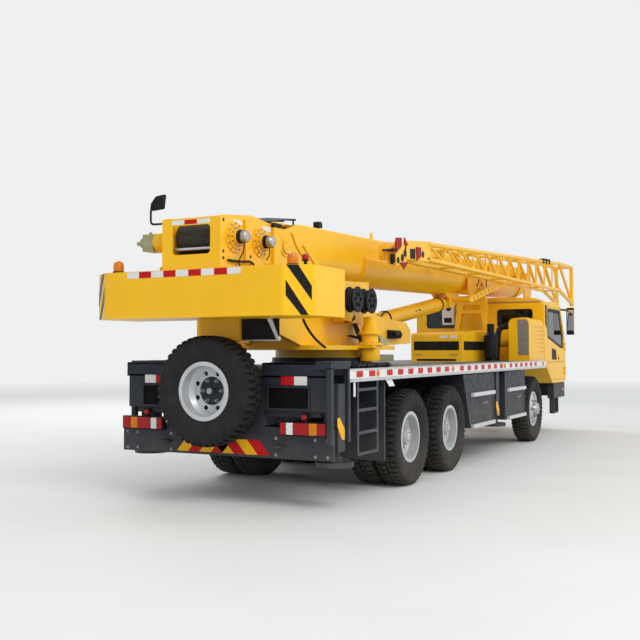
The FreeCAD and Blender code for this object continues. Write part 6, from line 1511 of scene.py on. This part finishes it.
def hood_trim():
    """Mesh, blank plates and handles of the engine hood, and the box on the cab's rear wall."""
    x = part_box("engine_hood")[0].x
    dark = Piece("hood_mesh", "chassis", "black")
    dark.side_box(1, (x - 0.002, x + 0.004), (-0.382, 0.382), MESH_Z)
    for sign in (-1, 1):
        dark.side_box(sign, (x + 0.09, x + 1.425), (0.426, 0.432), MESH_Z)
    dark.box((x - 0.004, -0.33, 1.352), (x + 0.002, 0.33, 1.385))
    dark.done(bevel=0.001)
    plates = Piece("hood_plates", "chassis", "white")
    for y in (-0.19, -0.36):
        plates.box((x - 0.002, y, 1.715), (x + 0.001, y + 0.13, 1.765))
    plates.done()
    bars = Piece("hood_handles", "chassis", "steel")
    for y in (-0.30, 0.30):
        bars.pipe([(x, y - 0.05, 1.46), (x - 0.03, y - 0.05, 1.46), (x - 0.03, y + 0.05, 1.46),
                   (x, y + 0.05, 1.46)], 0.006, 8)
    bars.done()
    box = Piece("cab_rear_box", "chassis", "white")
    box.box((CAB_REAR_X - 0.105, 0.43, 1.99), (CAB_REAR_X, 0.66, 2.39)).done(bevel=0.010)
    knob = Piece("cab_rear_box_knob", "chassis", "black")
    knob.rod((CAB_REAR_X - 0.105, 0.53, 2.29), (CAB_REAR_X - 0.125, 0.53, 2.29), 0.042, 28)
    knob.box((CAB_REAR_X - 0.112, 0.47, 2.03), (CAB_REAR_X - 0.104, 0.62, 2.12))
    knob.done(bevel=0.003)


def intake_trim():
    """Pierced screen and blank plate of the intake, and the ribbed duct down to the engine."""
    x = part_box("air_intake")[0].x
    screen = Piece("intake_screen", "chassis", "pierced")
    screen.slab([(x, y, z) for y, z in SCREEN], (-0.006, 0, 0)).done(bevel=0.001)
    blank = Piece("intake_blank_plate", "chassis", "yellow")
    blank.box((x + 0.55, -1.203, 1.38), (x + 0.86, -1.200, 1.45)).done(bevel=0.001)
    curve("intake_duct", "chassis", "hose", DUCT, 0.050, 14)
    rings = Piece("intake_duct_rings", "chassis", "hose")
    for index in range(13):
        rings.turned(DUCT_RING, (1.70, -0.602 - 0.0015 * index, 1.37 + DUCT_PITCH * index), UP, 28)
    for index in range(3):
        rings.turned(DUCT_RING, (1.72, -0.82 + DUCT_PITCH * index, 1.93), ACROSS, 28)
    rings.done(angle=50)


# Side equipment: handles and locks on the boxes, reflectors on the jack columns

HANDLE_Y = 1.25
HANDLE_Z = 0.80
HANDLE_LENGTH = 0.16
REAR_BOX_X = AXLE_2_X + 1.15
FRONT_BOX_X = AXLE_2_X + 2.95
REFLECTOR = ((-0.090, 0), (-0.040, 0), (0.062, -0.115), (0.062, -0.212), (0.005, -0.212), (-0.090, -0.080))
REFLECTOR_TOP = {"front": 0.780, "rear": 0.885}


def side_trim():
    handles = Piece("box_handles", "chassis", "steel")
    for sign, x in ((-1, REAR_BOX_X), (-1, FRONT_BOX_X), (1, REAR_BOX_X)):
        y = sign * HANDLE_Y
        out = y + sign * 0.035
        end = x + HANDLE_LENGTH
        bow = ((x, y), (x, out), (end, out), (end, y))
        handles.pipe([(*corner, HANDLE_Z) for corner in bow], 0.007, 8)
        handles.turned([(0.004, -0.002), (0.016, -0.002), (0.014, 0.010), (0.004, 0.012)],
                       (x + 0.30, y, HANDLE_Z), (0, sign, 0), 20)
    handles.done()
    for end, top in REFLECTOR_TOP.items():
        for side, sign in SIDES:
            beam = "%s_beam_%s" % (end, side)
            low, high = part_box(beam)
            x = (low.x + high.x) / 2
            mark = Piece("jack_reflector_%s_%s" % (end, side), beam, "yellow_tape")
            mark.plate([(x + along, top + up) for along, up in REFLECTOR], high.y if sign > 0 else low.y,
                       sign * 0.003)
            mark.done()


# Studio: a paper sweep, a pale world and three large lamps

BACKDROP = (0.86, 0.87, 0.88, 1.0)
FLOOR_HALF = 60
FADE = (13.0, 34.0)
AIM = Vector((0, 0, 1.2))
# Lamp, its place, power and colour
LAMPS = (("key", (-12, -12, 12), 1450, (1.0, 0.97, 0.92)),
         ("fill", (8, -14, 7), 330, (1.0, 1.0, 1.0)),
         ("back", (6, 12, 11), 800, (1.0, 1.0, 1.0)))
LAMP_SIZE = 9.0


def seen_directly(tree):
    """Is 1 for rays from the camera, a mirror or a pane, and 0 for light that is scattered."""
    path = tree.nodes.new("ShaderNodeLightPath")
    seen = path.outputs["Is Camera Ray"]
    for kind in ("Is Glossy Ray", "Is Transmission Ray"):
        either = tree.nodes.new("ShaderNodeMath")
        either.operation = "MAXIMUM"
        tree.links.new(seen, either.inputs[0])
        tree.links.new(path.outputs[kind], either.inputs[1])
        seen = either.outputs[0]
    return seen


def fade_to_backdrop(ground):
    """Lets the floor turn into the backdrop's colour far from the crane, as a paper sweep does."""
    away = ground.node("ShaderNodeVectorMath", operation="LENGTH")
    ground.link(ground.place, away.inputs[0])
    far = ground.span(away.outputs["Value"], *FADE, 0.0, 1.0)
    glow = ground.node("ShaderNodeEmission")
    glow.inputs["Color"].default_value = BACKDROP
    mix = ground.node("ShaderNodeMixShader")
    ground.link(ground.maths("MULTIPLY", far, seen_directly(ground.tree)), mix.inputs[0])
    ground.link(ground.shader.outputs[0], mix.inputs[1])
    ground.link(glow.outputs[0], mix.inputs[2])
    ground.link(mix.outputs[0], ground.tree.nodes["Material Output"].inputs["Surface"])


def make_floor():
    half = FLOOR_HALF
    mesh = bpy.data.meshes.new("floor")
    mesh.from_pydata([(-half, -half, 0), (half, -half, 0), (half, half, 0), (-half, half, 0)], [],
                     [(0, 1, 2, 3)])
    floor = bpy.data.objects.new("floor", mesh)
    bpy.context.scene.collection.objects.link(floor)
    ground = Finish("floor_paint", (0.74, 0.74, 0.73), 0.85).mottle((0.68, 0.68, 0.67), 0.4, 0.7)
    mesh.materials.append(ground.bumpy(30.0, 0.05, 0.002).done())
    fade_to_backdrop(ground)


def make_world():
    world = bpy.data.worlds.new("studio")
    bpy.context.scene.world = world
    world.use_nodes = True
    tree = world.node_tree
    light = tree.nodes["Background"]
    light.inputs["Color"].default_value = (0.93, 0.96, 1.0, 1.0)
    light.inputs["Strength"].default_value = 0.80
    shown = tree.nodes.new("ShaderNodeBackground")
    shown.inputs["Color"].default_value = BACKDROP
    shown.inputs["Strength"].default_value = 1.0
    mix = tree.nodes.new("ShaderNodeMixShader")
    tree.links.new(seen_directly(tree), mix.inputs[0])
    tree.links.new(light.outputs[0], mix.inputs[1])
    tree.links.new(shown.outputs[0], mix.inputs[2])
    tree.links.new(mix.outputs[0], tree.nodes["World Output"].inputs["Surface"])


def make_lamps():
    for name, place, power, colour in LAMPS:
        data = bpy.data.lights.new(name, "AREA")
        data.shape = "DISK"
        data.size = LAMP_SIZE
        data.energy = power
        data.color = colour
        lamp = bpy.data.objects.new(name, data)
        bpy.context.scene.collection.objects.link(lamp)
        lamp.location = place
        lamp.rotation_mode = "QUATERNION"
        lamp.rotation_quaternion = (AIM - Vector(place)).to_track_quat("-Z", "Y")


make_camera()
finish_nodes()
wheels()
rear_lamps()
chevrons()
rear_details()
deck_rails()
weight_stripes()
rear_hatch()
winch_ropes()
winch_ends()
ring_bolts()
cab_windows()
operator_windows()
cab_roof()
cab_doors()
cab_mirrors_and_lamps()
upper_hoses()
plate_trim()
slew_fittings()
reels()
beacons()
winch_mirror()
boom_top()
boom_tail_cover()
boom_side()
jib_trim()
luff_trim()
seats()
hood_trim()
intake_trim()
side_trim()
make_floor()
make_world()
make_lamps()
bpy.context.scene.view_settings.view_transform = "Standard"
